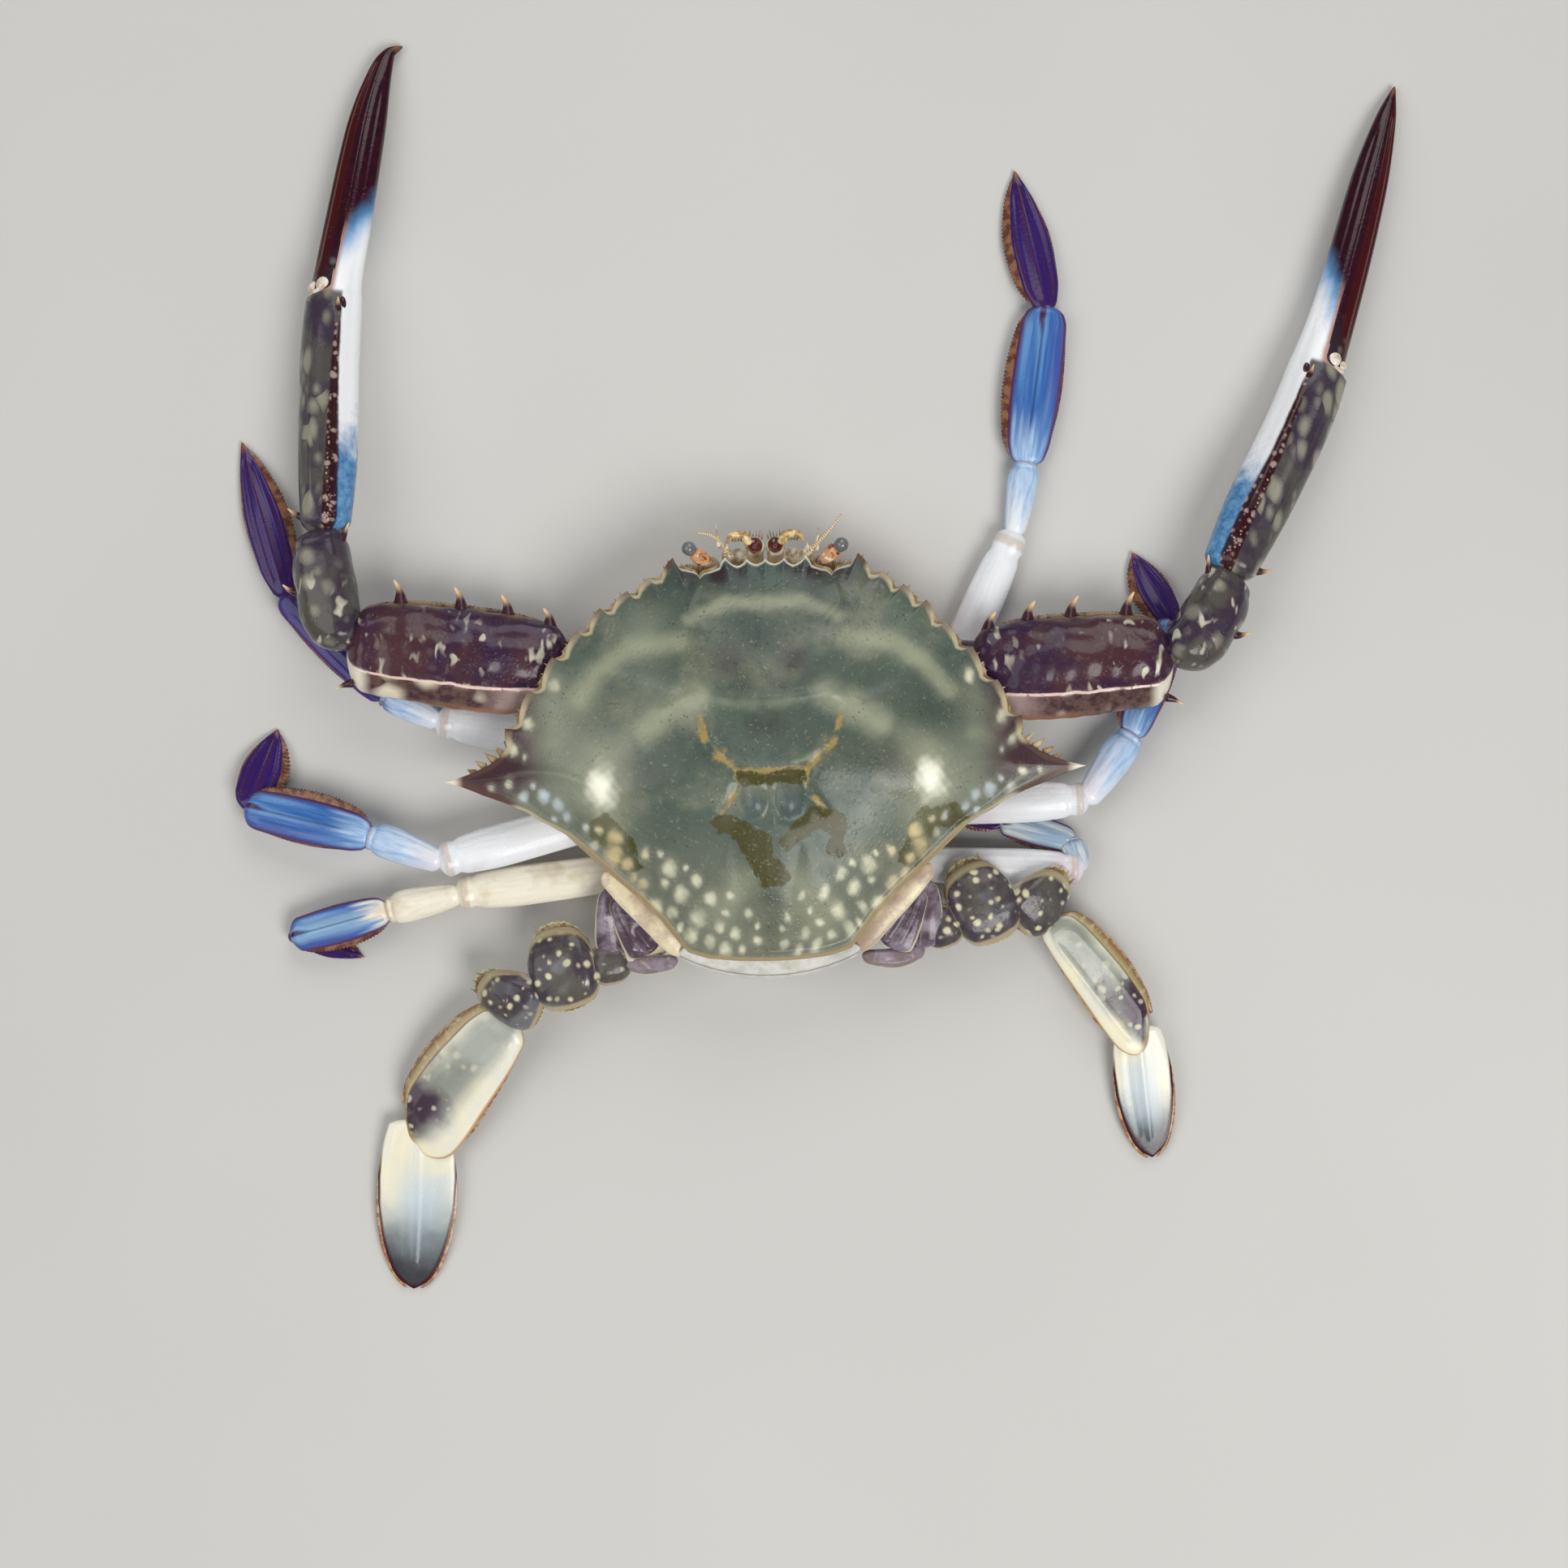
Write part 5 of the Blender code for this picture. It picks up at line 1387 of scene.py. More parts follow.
def make_arms():
    """Ischium, merus and carpus of both arms: rounded shells with ridges, spines and hair."""
    for side in SIDES:
        ischium, merus, carpus, _palm = arm_lines(side)
        first = shell_along(stretched(ischium, 2, 3), ARM_ROWS["ischium"], (3, 3), 48, 40,
                            fields={"merus": 0})
        side_piece(side, "arm_ischium_shell", [first], "arm_shell", "arm_ischium")
        rows = ARM_ROWS["merus"]
        shells = [shell_along(stretched(merus, 1, -0.6), rows, (6, 6), 96, 150,
                              relief=merus_relief, fields={"merus": 1})]
        for place, length in ARM_SPINES:
            shells += [thorn(merus, rows, place, 0, -0.5, (0.16, 1, 0), (length + 0.4, 2.7),
                             (1.5, 0, 0), {"spike": 1, "merus": 1}, 24, 24)]
        shells += [edge_strip(merus, rows, 1, 1.8, (0.06, 0.92), 0.7, 46, drop=0.6)]
        shells += [thorn(merus, rows, 0.955, 158, -0.5, (1, -0.35, 0), (4.2, 1.5), (0, -0.6, 0),
                         {"spike": 1, "merus": 1}, 16, 14)]
        side_piece(side, "arm_merus_shell", shells, "arm_shell", "arm_merus")
        rows = ARM_ROWS["carpus"]
        ridges = bumps((62, 12, 0.4, 0.25, 0.98), (125, 12, 0.4, 0.3, 0.98))
        rings = collars((0.93, 0.03, 0.4), (0.86, 0.03, -0.4))
        relief = lambda place, angle: (ridges(place, angle) + rings(place, angle) + 0.22 * np.sin(
            place * 11 + angle * 2) * np.sin(place * 7 - angle * 5))
        shells = [shell_along(stretched(carpus, 1.5, 1), rows, (5, 5), 84, 90, relief=relief,
                              fields={"merus": 0})]
        for place, angle, stand, way, size, bend in (
                (0.52, 184, -1.2, (0.35, -1, 0), (4.8, 2), (1.6, 0, 0)),
                (0.86, 24, -1.4, (1, 0.85, 0), (5.4, 1.7), (0.8, 0, 0))):
            shells += [thorn(carpus, rows, place, angle, stand, way, size, bend, {"spike": 1}, 20,
                             18)]
        side_piece(side, "arm_carpus_shell", shells, "arm_shell", "arm_carpus")


def claw_paint(brush):
    """White and blue inner side, dark blotched outer side, and dark maroon fingers."""
    palette = sizes()
    along, across = brush.fields("along", "across")
    finger, fixed = brush.fields("finger", "fixed")
    broad = brush.noise(85, 5, 0.6, 0.3)
    fine = brush.noise(420, 4, 0.6)
    uneven = (broad - 0.5) * 0.8
    outer = broad.ease(0.4, 0.6).mix((0.048, 0.034, 0.056), (0.08, 0.074, 0.07))
    drawn = brush.stretched(1, 0.55, 1)
    blots = drawn.spots(235, 0.6, 0.46)
    outer = (blots * 0.8).mix(outer, (0.34, 0.33, 0.25))
    blue = fine.ease(0.3, 0.7).mix((0.045, 0.17, 0.4), (0.16, 0.36, 0.6))
    inner = (along + uneven * 0.4).ease(0.14, 0.27).mix(blue, (0.92, 0.94, 0.97))
    shade = across + uneven * 0.16
    palm = shade.ease(0.4, 0.5).mix(outer, inner)
    off = abs(shade - 0.34)
    broadness = along.ramp(0, 0.45, 0.27, 0.05)
    dots = brush.spots(460, 0.5, 0.3)
    dotted = dots.mix((0.03, 0.003, 0.006), (0.4, 0.28, 0.26))
    palm = palm.coated(
        ((off - broadness).ease(0.05, -0.04) * along.ease(0.47, 0.38) * 0.95, dotted),
        (brush["height"].ease(-0.2, -0.7), (0.74, 0.74, 0.74)))
    maroon = fine.ease(0.38, 0.66).mix(palette.finger_colour, (0.036, 0.003, 0.014))
    maroon = (across.ease(-0.1, -0.7) * brush["free"]).mix(maroon, (0.06, 0.004, 0.004))
    slanted = (across * -1 + 0.5) * 0.14
    reach = finger + slanted + uneven * 0.16
    start = reach.ease(0.12, 0.3).mix((0.92, 0.94, 0.97), (0.12, 0.34, 0.66))
    start = (across + uneven * 0.3).ease(0.25, 0.05).mix(start, (0.5, 0.3, 0.26))
    fixed_skin = reach.ease(0.22, 0.38).mix(start, maroon)
    free_start = brush.spots(230, 0.4, 0.25).mix((0.03, 0.02, 0.028), (0.16, 0.17, 0.16))
    free_skin = reach.ease(0.14, 0.34).mix(free_start, maroon)
    fingers = fixed.mix(free_skin, fixed_skin)
    fingers = (finger.ease(0.95, 0.99) * 0.5).mix(fingers, (0.35, 0.14, 0.08))
    skin = finger.ease(0, 0.02).maths("MAXIMUM", brush["free"]).mix(palm, fingers)
    bump = fine.ease(0.42, 0.58).mix((0.12, 0.03, 0.035), (0.48, 0.34, 0.28))
    spike_tip = brush["tip"].ease(0.4, 0.85).mix((0.035, 0.012, 0.02), (0.7, 0.48, 0.28))
    return skin.coated(
        (brush["bead"], bump),
        (brush["pale"], fine.ease(0.4, 0.65).mix((0.86, 0.8, 0.7), (0.55, 0.38, 0.28))),
        (brush["spike"], spike_tip))


def finger_field(shell, hinge, fixed):
    """Add the share of the way from the hinge to the finger's tip, and which finger it is."""
    along = shell["fields"]["along"]
    shell["fields"]["finger"] = np.clip((along - hinge) / (1 - hinge), 0, 1)
    shell["ends"]["finger"] = (0, 1)
    for name, value in (("fixed", fixed), ("free", 1 - fixed)):
        shell["fields"][name] = np.full_like(along, value)
        shell["ends"][name] = (value, value)
    return shell


def make_claws():
    """Palm with fixed finger, and free finger, of both claws, with ridges, beads and teeth."""
    for side in SIDES:
        pose = ARM_POSES[side]
        palm = arm_lines(side)[-1]
        legs = [pose["palm"], *pose["fingers"]]
        hinge = pose["palm"][0] / sum(leg[0] for leg in legs)
        half, finger_half = pose["palm_half"], pose["finger_half"]
        taper = half * 0.8
        rows = [(0, taper * 1.15, taper * 0.9, 6.4, 6.5),
                (hinge * 0.35, half * 1.08, half * 0.93, 7.6, 7.8),
                (hinge * 0.75, half, half, 8, 8.2),
                (hinge * 0.985, half * 0.97, half * 0.93, 6.8, 7)]
        for place, width, thick in FINGER_ROWS:
            first = place == 0
            rows += [(hinge + (1 - hinge) * place + 0.02 * first,
                      half * 0.92 if first else finger_half * width, 0.25, 8 * thick, 8.2 * thick)]
        relief = bumps((70, 9, 0.55, 0.04, hinge * 0.97), (112, 9, 0.5, 0.04, hinge * 0.97),
                       (90, 11, -0.45, 0.04, hinge * 0.95), (40, 12, -0.35, 0.04, 0.95),
                       (60, 10, -0.5, hinge + 0.04, 0.93))
        line = stretched(corners_from(palm[0], legs), 1.5, 0)
        shells = [finger_field(shell_along(line, rows, (4.5, 1.5), 88, 240, 0.95, relief), hinge,
                               1)]
        chance = np.random.default_rng(7)
        for _k in range(80):
            place = hinge * (0.05 + 0.60 * chance.random())
            angle = 70 + (chance.random() - 0.5) * 24 * (1 - place / hinge)
            size = 0.26 + 0.18 * chance.random()
            spot = surface_point(line, rows, place, angle, -0.05)[0]
            shells += [bead(spot, (size, size * 1.2, size), {"finger": 0}, 8, 6)]
        pit = surface_point(line, rows, hinge * 0.955, 62, -0.35)[0]
        shells += [bead(pit, (1.1, 2.1, 0.7), {"finger": 0, "spike": 1, "tip": 0, "bead": 0}, 24,
                        16)]
        shells += [thorn(line, rows, 0.035, 180, -1, (0.3, -1, 0), (5, 1.8), (1, 0, 0),
                         {"spike": 1})]
        shells += [thorn(line, rows, hinge * 0.93, 70, -0.6, (1, 0, 0.35), (3.6, 1.5), (0, 0, 0),
                         {"spike": 1}, 16, 14)]
        shells += finger_teeth(line, hinge, 1)
        side_piece(side, "claw_palm", shells, "claw_shell", "arm_propodus")
        joint = palm[-1] + aim(*pose["palm"][1:])[0] * 0.2
        rows = [(place, 0.25, finger_half * width, 8 * thick, 8.2 * thick)
                for place, width, thick in FINGER_ROWS]
        line = stretched(corners_from(joint, pose["fingers"]), 2.5, 0)
        relief = bumps((120, 10, -0.5, 0.08, 0.93), (145, 10, -0.4, 0.08, 0.9))
        shells = [finger_field(shell_along(line, rows, (3, 1.5), 80, 150, 0.95, relief), 0, 0)]
        shells += finger_teeth(line, 0, -1)
        for place, angle, radii in ((0.040, 148, (2.4, 1.7, 1.5)), (0.050, 112, (2.6, 2.4, 1.3)),
                                    (0.020, 126, (3, 1.3, 1.3))):
            spot = surface_point(line, rows, place, angle, -0.9)[0]
            shells += [bead(spot, radii, {"pale": 1}, 24, 18, 0.4)]
        side_piece(side, "claw_free_finger", shells, "claw_shell", "arm_dactylus")


def finger_teeth(line, hinge, edge):
    """Blunt cream teeth along the biting edge of a finger, larger in its middle."""
    shells = []
    for k in range(13):
        place = hinge + (1 - hinge) * (0.12 + 0.76 * k / 12)
        centre, _along, fore, *_rest = line_frame(line, np.array([place]))
        size = (0.8 + 0.5 * math.sin(math.pi * k / 12)) * (1 if k % 3 else 1.2)
        shells += [bead(centre[0] - fore[0] * edge * 0.2, (size, size, size * 1.3), {"pale": 0.6},
                        14, 10)]
    return shells


# Walking legs

LEG_SHAPES = {
    "merus": ((0, 0.72, 0.75), (0.18, 0.95, 1), (0.62, 1),
              (0.9, 0.84, 0.8, 0.9, 0.9), (1, 0.62, 0.75)),
    "carpus": ((0, 0.62, 0.75), (0.38, 0.88, 0.95), (0.72, 1, 0.95, 1, 1),
               (1, 0.7, 0.8)),
    "propodus": ((0, 0.6, 0.8), (0.16, 0.9, 0.86, 1, 1), (0.5, 1, 0.95),
                 (0.88, 0.92, 0.9, 0.8, 0.8), (1, 0.62, 0.6, 0.7, 0.7)),
    "dactylus": ((0, 0.5, 0.8), (0.22, 0.95, 1), (0.45, 1, 0.9),
                 (0.78, 0.62, 0.6), (1, 0.06, 0.14)),
}


def leg_paint(brush):
    """White near the body, vivid blue further out and purple on the last joint."""
    palette = sizes()
    along, across, joint = brush.fields("along", "across", "joint")
    lines = brush.streaks(1.2, 3.2, 2)
    fine = brush.streaks(5, 7, 3)
    uneven = (lines - 0.5) * 1.1
    walked = joint + along + uneven
    white = fine.ease(0.45, 0.7).mix((0.87, 0.89, 0.92), (0.82, 0.85, 0.89))
    white = brush.noise(55, 2).ease(0.48, 0.66).mix(white, (0.8, 0.74, 0.8))
    pale_blue = fine.ease(0.42, 0.62).mix((0.46, 0.62, 0.84), (0.3, 0.48, 0.76))
    skin = walked.ease(0.75, 1.9).mix(white, pale_blue)
    vivid = lines.ease(0.36, 0.66).mix(palette.leg_colour, (0.13, 0.3, 0.6))
    cream = fine.ease(0.45, 0.65).mix((0.9, 0.85, 0.71), (0.84, 0.79, 0.64))
    stain = brush.noise(75, 3).ease(0.52, 0.68)
    cream = (stain * 0.6).mix(cream, (0.62, 0.5, 0.32))
    # painted highlight: paler blue along the middle of the folded leg's propodus
    light = brush["faded"] * abs(across).ease(0.75, 0.3)
    light = light * abs(walked - 2.55).ease(0.5, 0.3)
    # painted shade: darker purple-blue over the aft half of the last two joints
    aft_shade = (across + uneven * 0.4).ease(-0.15, -0.75) * walked.ease(2.1, 2.5)
    groove = abs(across - 0.05).ease(0.085, 0.02) * walked.ease(2.02, 2.2)
    # grey-blue from the carpus outward on the leg folded behind the swimming leg
    greyed = lines.ease(0.4, 0.6).mix((0.3, 0.42, 0.56), (0.62, 0.66, 0.66))
    side_edge = (abs(across) + uneven * 0.2).ease(0.74, 0.97)
    ring = abs(along - 0.94)
    purple = lines.ease(0.38, 0.62).mix((0.03, 0.01, 0.14), (0.05, 0.014, 0.085))
    grain = brush.noise(420, 3)
    hair = grain.ease(0.4, 0.6).mix((0.11, 0.036, 0.024), (0.25, 0.115, 0.06))
    return skin.coated(
        (walked.ease(1.9, 2.3), vivid),
        (brush["shaded"] * walked.ease(1.6, 2.1), (0.04, 0.025, 0.16)),
        (brush["faded"] * walked.ease(2.3, 1.95), cream),
        (light * 0.55, (0.4, 0.62, 0.76)),
        (aft_shade * 0.45, (0.075, 0.06, 0.3)),
        (groove * 0.65, (0.018, 0.05, 0.18)),
        (brush["greyed"] * walked.ease(0.9, 1.4), greyed),
        (side_edge * walked.ease(1.85, 2.2), (0.1, 0.03, 0.12)),
        (ring.ease(0.03, 0.012) * joint.ease(1.6, 1.4) * 0.45, (0.45, 0.29, 0.18)),
        (walked.ease(2.95, 3.12).maths("MAXIMUM", joint.ease(2.5, 2.9)), purple),
        (along.ease(0.9, 0.99) * joint.ease(2.8, 3), (0.22, 0.08, 0.04)),
        (brush["hair"], hair))


def leg_relief(kind):
    """Two long grooves beside a raised midrib on the flat last joints."""
    if kind in ("merus", "carpus"):
        ridges = bumps((90, 16, 0.12, 0.08, 0.92), (40, 10, -0.2, 0.1, 0.9))
        rings = collars((0.945, 0.022, 0.45), (0.885, 0.022, -0.5))
        return lambda place, angle: ridges(place, angle) + rings(place, angle)
    depth = 0.42 if kind == "dactylus" else 0.34
    return bumps(*((middle, 10, depth, 0.04, 0.93) for middle in (90, 270)),
                 *((middle, 13, -depth, 0.06, 0.9) for middle in (52, 128, 232, 308)))


def make_walking_legs():
    """Four joints of each walking leg, flattened and rounded, with hair on the outer two."""
    for name, rows in LEG_POSES.items():
        side, number = name.split("_")[0], int(name[-1])
        start = np.array(LEG_ROOTS[number - 1], float)
        for kind, (length, heading, climb, half, thick) in zip(LEG_PIECES, rows):
            knuckle = []
            if name == FOLDED_LEG and kind == "dactylus":
                drop = thick + 2.4
                knuckle = [(start - (0, 0, drop / 2), (2, 2, drop / 2 + 0.9))]
                start = start - (0, 0, drop)
            line = corners_from(start, [(length, heading, climb)])
            start = line[-1]
            shape = scaled(LEG_SHAPES[kind], half, thick)
            values = {"joint": LEG_PIECES.index(kind), "faded": name == FOLDED_LEG,
                      "shaded": name == "left_leg_1", "greyed": name == "right_leg_3"}
            last = kind == "dactylus"
            body = stretched(line, 1, 0 if last else 1)
            steps = 90 if length > 30 else 60
            shells = [shell_along(body, shape, (2.6, 1.2 if last else 2.6), 52, steps, 1.05,
                                  leg_relief(kind), fields=values)]
            np.maximum(shells[0]["rings"], (-1000, -1000, 0), out=shells[0]["rings"])
            shells += [bead(*place, {**values, "along": 0.05}, 24, 16) for place in knuckle]
            if kind in ("propodus", "dactylus"):
                width = sizes().fringe_width / MM * FRINGE_SHARES.get(name, 1)
                edge = -1 if name == FOLDED_LEG else 1
                teeth = int(length * 0.9)
                shells += [edge_strip(line, shape, edge, width * 1.35, (0, 0.96), 0.55, teeth)]
                shells += [edge_strip(line, shape, -edge, width * 0.4, (0.1, 0.9), 0.5, teeth)]
            make_piece(f"{name}_{kind}_shell", shells, "leg_shell", [f"{name}_{kind}"], side)


# Swimming legs

SWIM_ROWS = {
    "base": ((0, 5.5, 4.4, 4, 4), (0.5, 7, 6, 4.8, 4.6), (1, 6.4, 6.2, 4.6, 4.4)),
    "merus": ((0, 7.8, 7.4, 4.6, 4.4), (0.14, 11, 9, 5.2, 4.8), (0.32, 12.8, 10, 5.5, 5),
              (0.52, 13.2, 10.4, 5.5, 5), (0.72, 12.5, 10, 5.3, 4.8), (0.88, 10, 8.2, 4.8, 4.4),
              (1, 7, 6, 4.2, 4)),
    "carpus": ((0, 5.4, 3.6, 4.4, 4), (0.16, 9.8, 4.8, 5, 4), (0.36, 12.8, 5.8, 5.2, 4),
               (0.56, 13.4, 6.3, 5, 3.8), (0.78, 12.2, 6.3, 4.4, 3.6), (1, 8.4, 5.4, 3.6, 3.2)),
    "propodus": ((0, 0.72, 0.46, 2.8, 2.4), (0.1, 0.96, 0.58, 2.6, 2.2),
                 (0.22, 1.08, 0.7, 2.4, 2.2), (0.5, 1.12, 0.88, 2, 2), (0.8, 0.98, 1.04, 1.7, 1.7),
                 (1, 0.7, 0.96, 1.4, 1.4)),
}


def swim_paint(brush):
    """Dark purple-grey with cream spots, and tan hairy rims."""
    broad = brush.noise(80, 5, 0.6, 0.3)
    fine = brush.noise(380, 4, 0.6)
    across = abs(brush["across"])
    skin = broad.ease(0.4, 0.62).mix((0.058, 0.046, 0.062), (0.105, 0.096, 0.082))
    tan = fine.ease(0.4, 0.6).mix((0.2, 0.135, 0.06), (0.42, 0.32, 0.17))
    tan = brush["reach"].ease(0.65, 0.95).mix(tan, (0.7, 0.6, 0.38))
    return skin.coated(
        (fine.ease(0.5, 0.72) * 0.5, (0.13, 0.11, 0.09)),
        (brush.spots(345, 0.44, 0.32) * 0.9, (0.74, 0.69, 0.46)),
        # painted sheen: bluish grey laid over random patches of the joints
        (brush.noise(95, 2).ease(0.52, 0.68) * 0.35, (0.3, 0.32, 0.36)),
        ((across + fine * 0.06).ease(0.83, 0.93) * 0.9, (0.46, 0.38, 0.23)),
        (abs(brush["along"] - 0.5).ease(0.43, 0.47) * 0.7, (0.62, 0.54, 0.44)),
        (brush["height"].ease(-0.2, -0.6), (0.62, 0.6, 0.56)),
        (brush["hair"].maths("MAXIMUM", brush["spike"]), tan))


def paddle_paint(brush):
    """Pale blade, grey-blue in its middle, with a dark border and tan hair round it."""
    along, across, blade = brush.fields("along", "across", "blade")
    broad = brush.noise(60, 4, 0.5, 0.3)
    lines = brush.streaks(1.5, 7, 2)
    fine = brush.noise(420, 4, 0.6)
    uneven = (broad - 0.5) * 0.6
    cream = broad.ease(0.4, 0.62).mix((0.9, 0.84, 0.62), (0.8, 0.79, 0.68))
    grey = broad.ease(0.38, 0.62).mix((0.21, 0.23, 0.2), (0.38, 0.4, 0.35))
    wide = across - 0.16 + uneven
    centre = abs(wide).ease(0.82, 0.3)
    hand = (centre * 0.92).mix(cream, grey)
    ragged = uneven * 1.6
    outer = (along + ragged).ease(0.52, 0.74) * (across + ragged).ease(-0.45, 0.1)
    outer = outer * (along + ragged).ease(1.06, 0.94)
    dark = brush.spots(300, 0.4, 0.2).mix((0.06, 0.036, 0.056), (0.52, 0.49, 0.38))
    hand_rim = (across * -1).maths("MAXIMUM", along - 0.03).ease(0.92, 0.97)
    golden = across.ease(0.8, 0.99).mix((0.42, 0.33, 0.17), (0.26, 0.165, 0.075))
    golden = fine.ease(0.5, 0.68).mix(golden, (0.5, 0.42, 0.26))
    hand = hand.coated(
        (brush.spots(230, 0.36, 0.3) * (centre * 0.5), (0.7, 0.68, 0.5)),
        (outer, dark),
        (hand_rim * 0.9, (0.52, 0.32, 0.15)),
        ((across + uneven * 0.1).ease(0.745, 0.785), golden),
        (abs(across - 0.755).ease(0.035, 0.01) * 0.7, (0.12, 0.075, 0.04)))
    fin = lines.ease(0.5, 0.36).mix(cream, (0.8, 0.79, 0.7))
    reach = along + uneven * 0.5
    ridge_blue = abs(across + 0.12 + uneven).ease(1, 0.1)
    deeper = reach + abs(across) * 0.05
    inset = brush["inset"] + uneven
    rim_width = along.ramp(0.1, 0.95, 0.25, 1.7)
    rim = (inset / rim_width).ease(1.5, 0.7)
    fin = fin.coated(
        (reach.ease(0, 0.55) * ridge_blue * 0.95, (0.56, 0.65, 0.7)),
        (deeper.ease(0.45, 0.8) * 0.85, (0.24, 0.29, 0.32)),
        (deeper.ease(0.62, 0.93), (0.05, 0.052, 0.058)),
        (rim * along.ease(0.1, 0.34), (0.05, 0.008, 0.014)))
    skin = blade.mix(hand, fin)
    tan = fine.ease(0.4, 0.6).mix((0.3, 0.13, 0.06), (0.56, 0.36, 0.2))
    return brush["hair"].mix(skin, tan)


def make_swimming_legs():
    """Base to paddle of both swimming legs: broad flat joints with thin rims and an oval blade."""
    for side in SIDES:
        pose = SWIM_POSES[side]
        start = np.array(pose["root"], float)
        for kind in ("base", "merus", "carpus", "propodus"):
            line = corners_from(start, [pose[kind]])
            start = line[-1]
            rows = SWIM_ROWS[kind]
            hand = kind == "propodus"
            if hand:
                fore, aft = pose["propodus_half"]
                rows = [(p, a * fore, b * aft, u, d) for p, a, b, u, d in rows]
            rise = 0.3 if hand else 0.08
            relief = bumps((64, 9, rise, 0.08, 0.92), (116, 9, rise, 0.08, 0.92),
                           (90, 18, -1.1 * rise, 0.1, 0.9))
            reach, cap, lift, slant = (4.2, 9, 1.3, -5) if hand else (1.2, 4, 0, 0)
            shells = [shell_along(stretched(line, 1.2, reach), rows, (4, cap), 84, 110, 1, relief,
                                  (0, lift), (0, slant), {"blade": 0, "inset": 9})]
            if hand:
                shells += [edge_strip(line, rows, 1, 1.3, (0.04, 0.97), 0.6, 40)]
                shells += [edge_strip(line, rows, -1, 0.7, (0.06, 0.97), 0.6, 40)]
            elif kind != "base":
                shells += [edge_strip(line, rows, 1, 2.5, (0, 1), 0.8, 11, drop=0.8)]
                shells += [edge_strip(line, rows, -1, 1.3, (0.06, 0.95), 0.8, 9, drop=0.8)]
                for k, place in enumerate((0.22, 0.4, 0.58, 0.76)):
                    base, along, fore, up = surface_point(line, rows, place, 0, 0.2)
                    shells += [spike(base - up * 0.8, fore + along * 0.2, 1.9 + 0.5 * (k % 2), 0.8,
                                     0, {"spike": 1}, 12, 10)]
            finish = "paddle_shell" if hand else "swimming_leg_shell"
            side_piece(side, f"swim_{kind}_shell", shells, finish, f"swim_{kind}")
        make_paddle(side, pose, start)


def make_paddle(side, pose, start):
    """An oval blade whose half-width follows an ellipse, thinning to its rim, edged with hair."""
    line = corners_from(start, [pose["paddle"]])
    places = np.r_[np.linspace(0, 0.84, 8), 0.9, 0.94, 0.97, 0.99, 1]
    half = pose["paddle_half"] * np.sqrt(np.clip(1 - ((places - 0.42) / 0.585) ** 2, 0.02, 1))
    half[0] = pose["paddle_half"] * 0.72
    rows = [(p, h * 0.97, h * 0.97, 1.3 - 0.8 * p, 1.3 - 0.8 * p) for p, h in zip(places, half)]
    relief = bumps((90, 7, 0.35, 0.03, 0.9), (60, 8, -0.18, 0.05, 0.85),
                   (120, 8, -0.18, 0.05, 0.85))
    blade = shell_along(stretched(line, 1.5, -0.6), rows, (2, 5), 96, 120, 1, relief,
                        fields={"blade": 1})
    along = blade["fields"]["along"]
    outline = smooth_through(places, half * 0.97, along.ravel())[:, 0].reshape(along.shape)
    level = blade["rings"][..., :2]
    far = line[-1][:2] - line[0][:2]
    walked = ((level - line[0][:2]) @ far) / (far @ far)
    tip = (1 - walked) * np.linalg.norm(far)
    blade["fields"]["inset"] = np.minimum(outline * (1 - np.abs(blade["fields"]["across"])), tip)
    blade["ends"]["inset"] = (5, 0)
    rim = [edge_strip(line, rows, edge, 0.9, (0.08, 0.985), 0.5, 60) for edge in (1, -1)]
    side_piece(side, "swim_paddle_blade", [blade, *rim], "paddle_shell", "swim_paddle")


# Finishes: (paint, slot, roughness wet and dry, grain depth, coat, grain scale, coat roughness)

FINISHES = {
    "carapace_shell": (carapace_paint, "carapace", (0.22, 0.4), 1, 0.22, 760, 0.22),
    "underside_plates": (underside_paint, "underside", (0.3, 0.5), 1, 0.2, 900, 0.13),
    "flank_plates": (flank_paint, "underside", (0.2, 0.4), 0.9, 0.35, 900, 0.13),
    "tail_plates": (tail_paint, "cream_parts", (0.16, 0.32), 0.6, 0.4, 900, 0.13),
    "mouth_plates": (mouth_paint, "cream_parts", (0.3, 0.5), 1, 0.25, 900, 0.13),
    "eye_surface": (eye_paint, "eye", (0.05, 0.14), 0.25, 1, 3600, 0.13),
    "eyestalk_shell": (stalk_paint, "eyestalk", (0.15, 0.3), 0.5, 0.6, 1600, 0.13),
    "feeler_shell": (feeler_paint, "cream_parts", (0.16, 0.34), 0.6, 0.5, 1500, 0.13),
    "arm_shell": (arm_paint, "arm", (0.17, 0.34), 1, 0.35, 820, 0.13),
    "claw_shell": (claw_paint, "arm", (0.11, 0.24), 0.7, 0.35, 900, 0.13),
    "leg_shell": (leg_paint, "leg", (0.16, 0.32), 0.6, 0.35, 1000, 0.13),
    "swimming_leg_shell": (swim_paint, "swim", (0.16, 0.34), 0.9, 0.4, 860, 0.13),
    "paddle_shell": (paddle_paint, "paddle", (0.16, 0.3), 0.5, 0.35, 1000, 0.13),
}


# Stage

def floor_paint(brush):
    """Pale floor with faint broad clouds."""
    return brush.noise(3, 3).ease(0.3, 0.7).mix((0.6, 0.59, 0.57), (0.63, 0.62, 0.6))


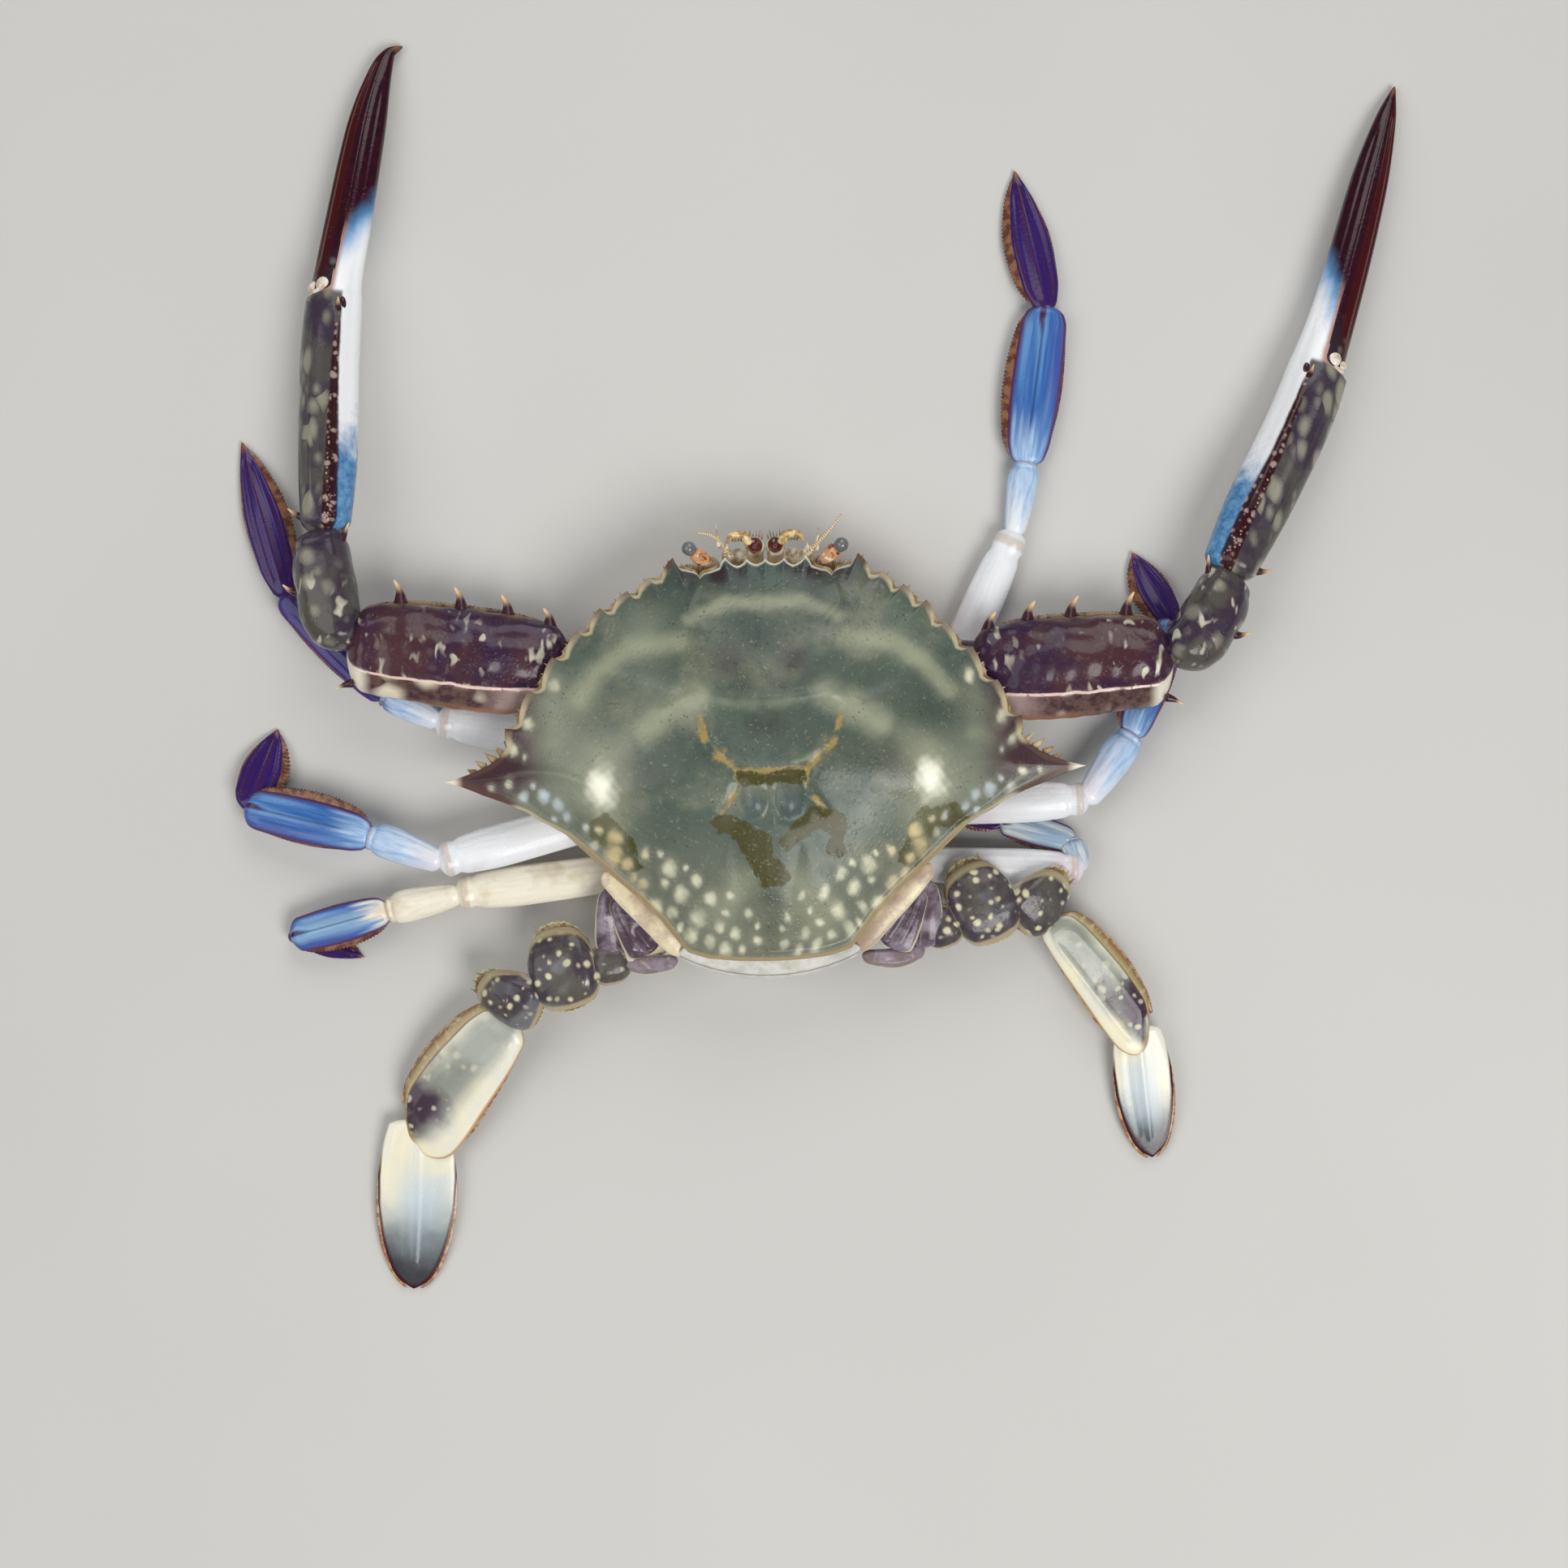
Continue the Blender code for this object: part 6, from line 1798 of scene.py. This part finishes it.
LIGHTS = (("key_light", (-0.55, 0.75, 1.25), 0.9, 1), ("fill_light", (0.9, 0.1, 1.1), 1.2, 0.45),
          ("rear_light", (-0.2, -1, 0.9), 1, 0.4))
LIGHT_COLOUR = (1, 0.985, 0.96)
SKY_COLOUR, SKY_STRENGTH = (0.86, 0.9, 0.95, 1), 0.17
FLOOR_HALF = 3
LENS, SENSOR, CAMERA_HEIGHT = 57.54, 36, 0.728
CAMERA_TURN = math.radians(1.5)
CAMERA_OVER = (-5.25, -2.97, 0)


def place_at(thing, place, axes):
    """Turn and place an object by its three axes' directions."""
    turn = Matrix(np.stack(axes, 1).tolist()).to_4x4()
    thing.matrix_world = Matrix.Translation(place) @ turn


def make_stage():
    """Pale floor, large soft lights, pale surroundings and the camera straight above."""
    made, surface, _brush = painted_material("floor_paint", floor_paint)
    surface.inputs["Roughness"].default_value = 0.7
    mesh = bpy.data.meshes.new("floor")
    corners = [(x * FLOOR_HALF, y * FLOOR_HALF, 0) for x, y in ((-1, -1), (1, -1), (1, 1), (-1, 1))]
    mesh.from_pydata(corners, [], [(0, 1, 2, 3)])
    mesh.materials.append(made)
    staged = [add_object("floor", mesh)]
    for name, place, size, power in LIGHTS:
        lamp = bpy.data.lights.new(name, "AREA")
        lamp.shape, lamp.size = "DISK", size
        lamp.energy = sizes().light_power * power
        lamp.color = LIGHT_COLOUR
        direction = unit(np.array(place))
        across = unit(np.cross((0, 1, 0), direction))
        staged.append(add_object(name, lamp))
        place_at(staged[-1], place, (across, np.cross(direction, across), direction))
    world = bpy.data.worlds.new("soft_room")
    world.use_nodes = True
    glow = world.node_tree.nodes["Background"].inputs
    glow["Color"].default_value = SKY_COLOUR
    glow["Strength"].default_value = SKY_STRENGTH
    bpy.context.scene.world = world
    lens = bpy.data.cameras.new("camera")
    lens.lens, lens.sensor_width, lens.clip_start = LENS, SENSOR, 0.05
    camera = add_object("camera", lens)
    c, s = math.cos(CAMERA_TURN), math.sin(CAMERA_TURN)
    middle = in_world(np.array([CAMERA_OVER]), "left")[0]
    place_at(camera, (middle[0], middle[1], CAMERA_HEIGHT), ((-c, s, 0), (-s, -c, 0), (0, 0, 1)))
    bpy.context.scene.camera = camera
    bpy.context.scene.view_settings.view_transform = "Standard"


# Add-on

def step(name, text, work):
    """An operator class that runs one making step."""
    def execute(self, context):
        work()
        return {"FINISHED"}
    return type("CRAB_OT_" + name, (bpy.types.Operator,),
                {"bl_idname": "crab." + name, "bl_label": name.replace("_", " ").capitalize(),
                 "__doc__": text, "bl_options": {"REGISTER", "UNDO"}, "execute": execute})


STEPS = (
    step("carapace", "Make the toothed shell of the back", make_carapace),
    step("underbody", "Make the body under the carapace and the limb roots", make_thorax),
    step("flanks", "Make the plates beside the rear of the carapace", make_flanks),
    step("tail", "Make the folded tail", make_tail),
    step("mouth_plates", "Make the plates over the mouth", make_mouth_plates),
    step("eyes", "Make both eyes and their stalks", make_eyes),
    step("feelers", "Make the long and short feelers", make_feelers),
    step("arms", "Make both arms up to the wrist", make_arms),
    step("claws", "Make both claws", make_claws),
    step("walking_legs", "Make the six walking legs", make_walking_legs),
    step("swimming_legs", "Make both swimming legs and paddles", make_swimming_legs),
    step("stage", "Make the floor, lights and camera", make_stage),
)


class CRAB_PT_steps(bpy.types.Panel):
    """Making steps and sizes of the crab."""
    bl_label = "Blue swimming crab"
    bl_space_type = "VIEW_3D"
    bl_region_type = "UI"
    bl_category = "Crab"

    def draw(self, context):
        for name in CrabSizes.__annotations__:
            self.layout.prop(context.scene.crab_sizes, name)
        for item in STEPS:
            self.layout.operator(item.bl_idname)


CLASSES = (CrabSizes, *STEPS, CRAB_PT_steps)


def register():
    for item in CLASSES:
        bpy.utils.register_class(item)
    bpy.types.Scene.crab_sizes = PointerProperty(type=CrabSizes)


def unregister():
    del bpy.types.Scene.crab_sizes
    for item in reversed(CLASSES):
        bpy.utils.unregister_class(item)


def main():
    register()
    for item in STEPS:
        module, name = item.bl_idname.split(".")
        getattr(getattr(bpy.ops, module), name)()


if __name__ == "__main__":
    main()
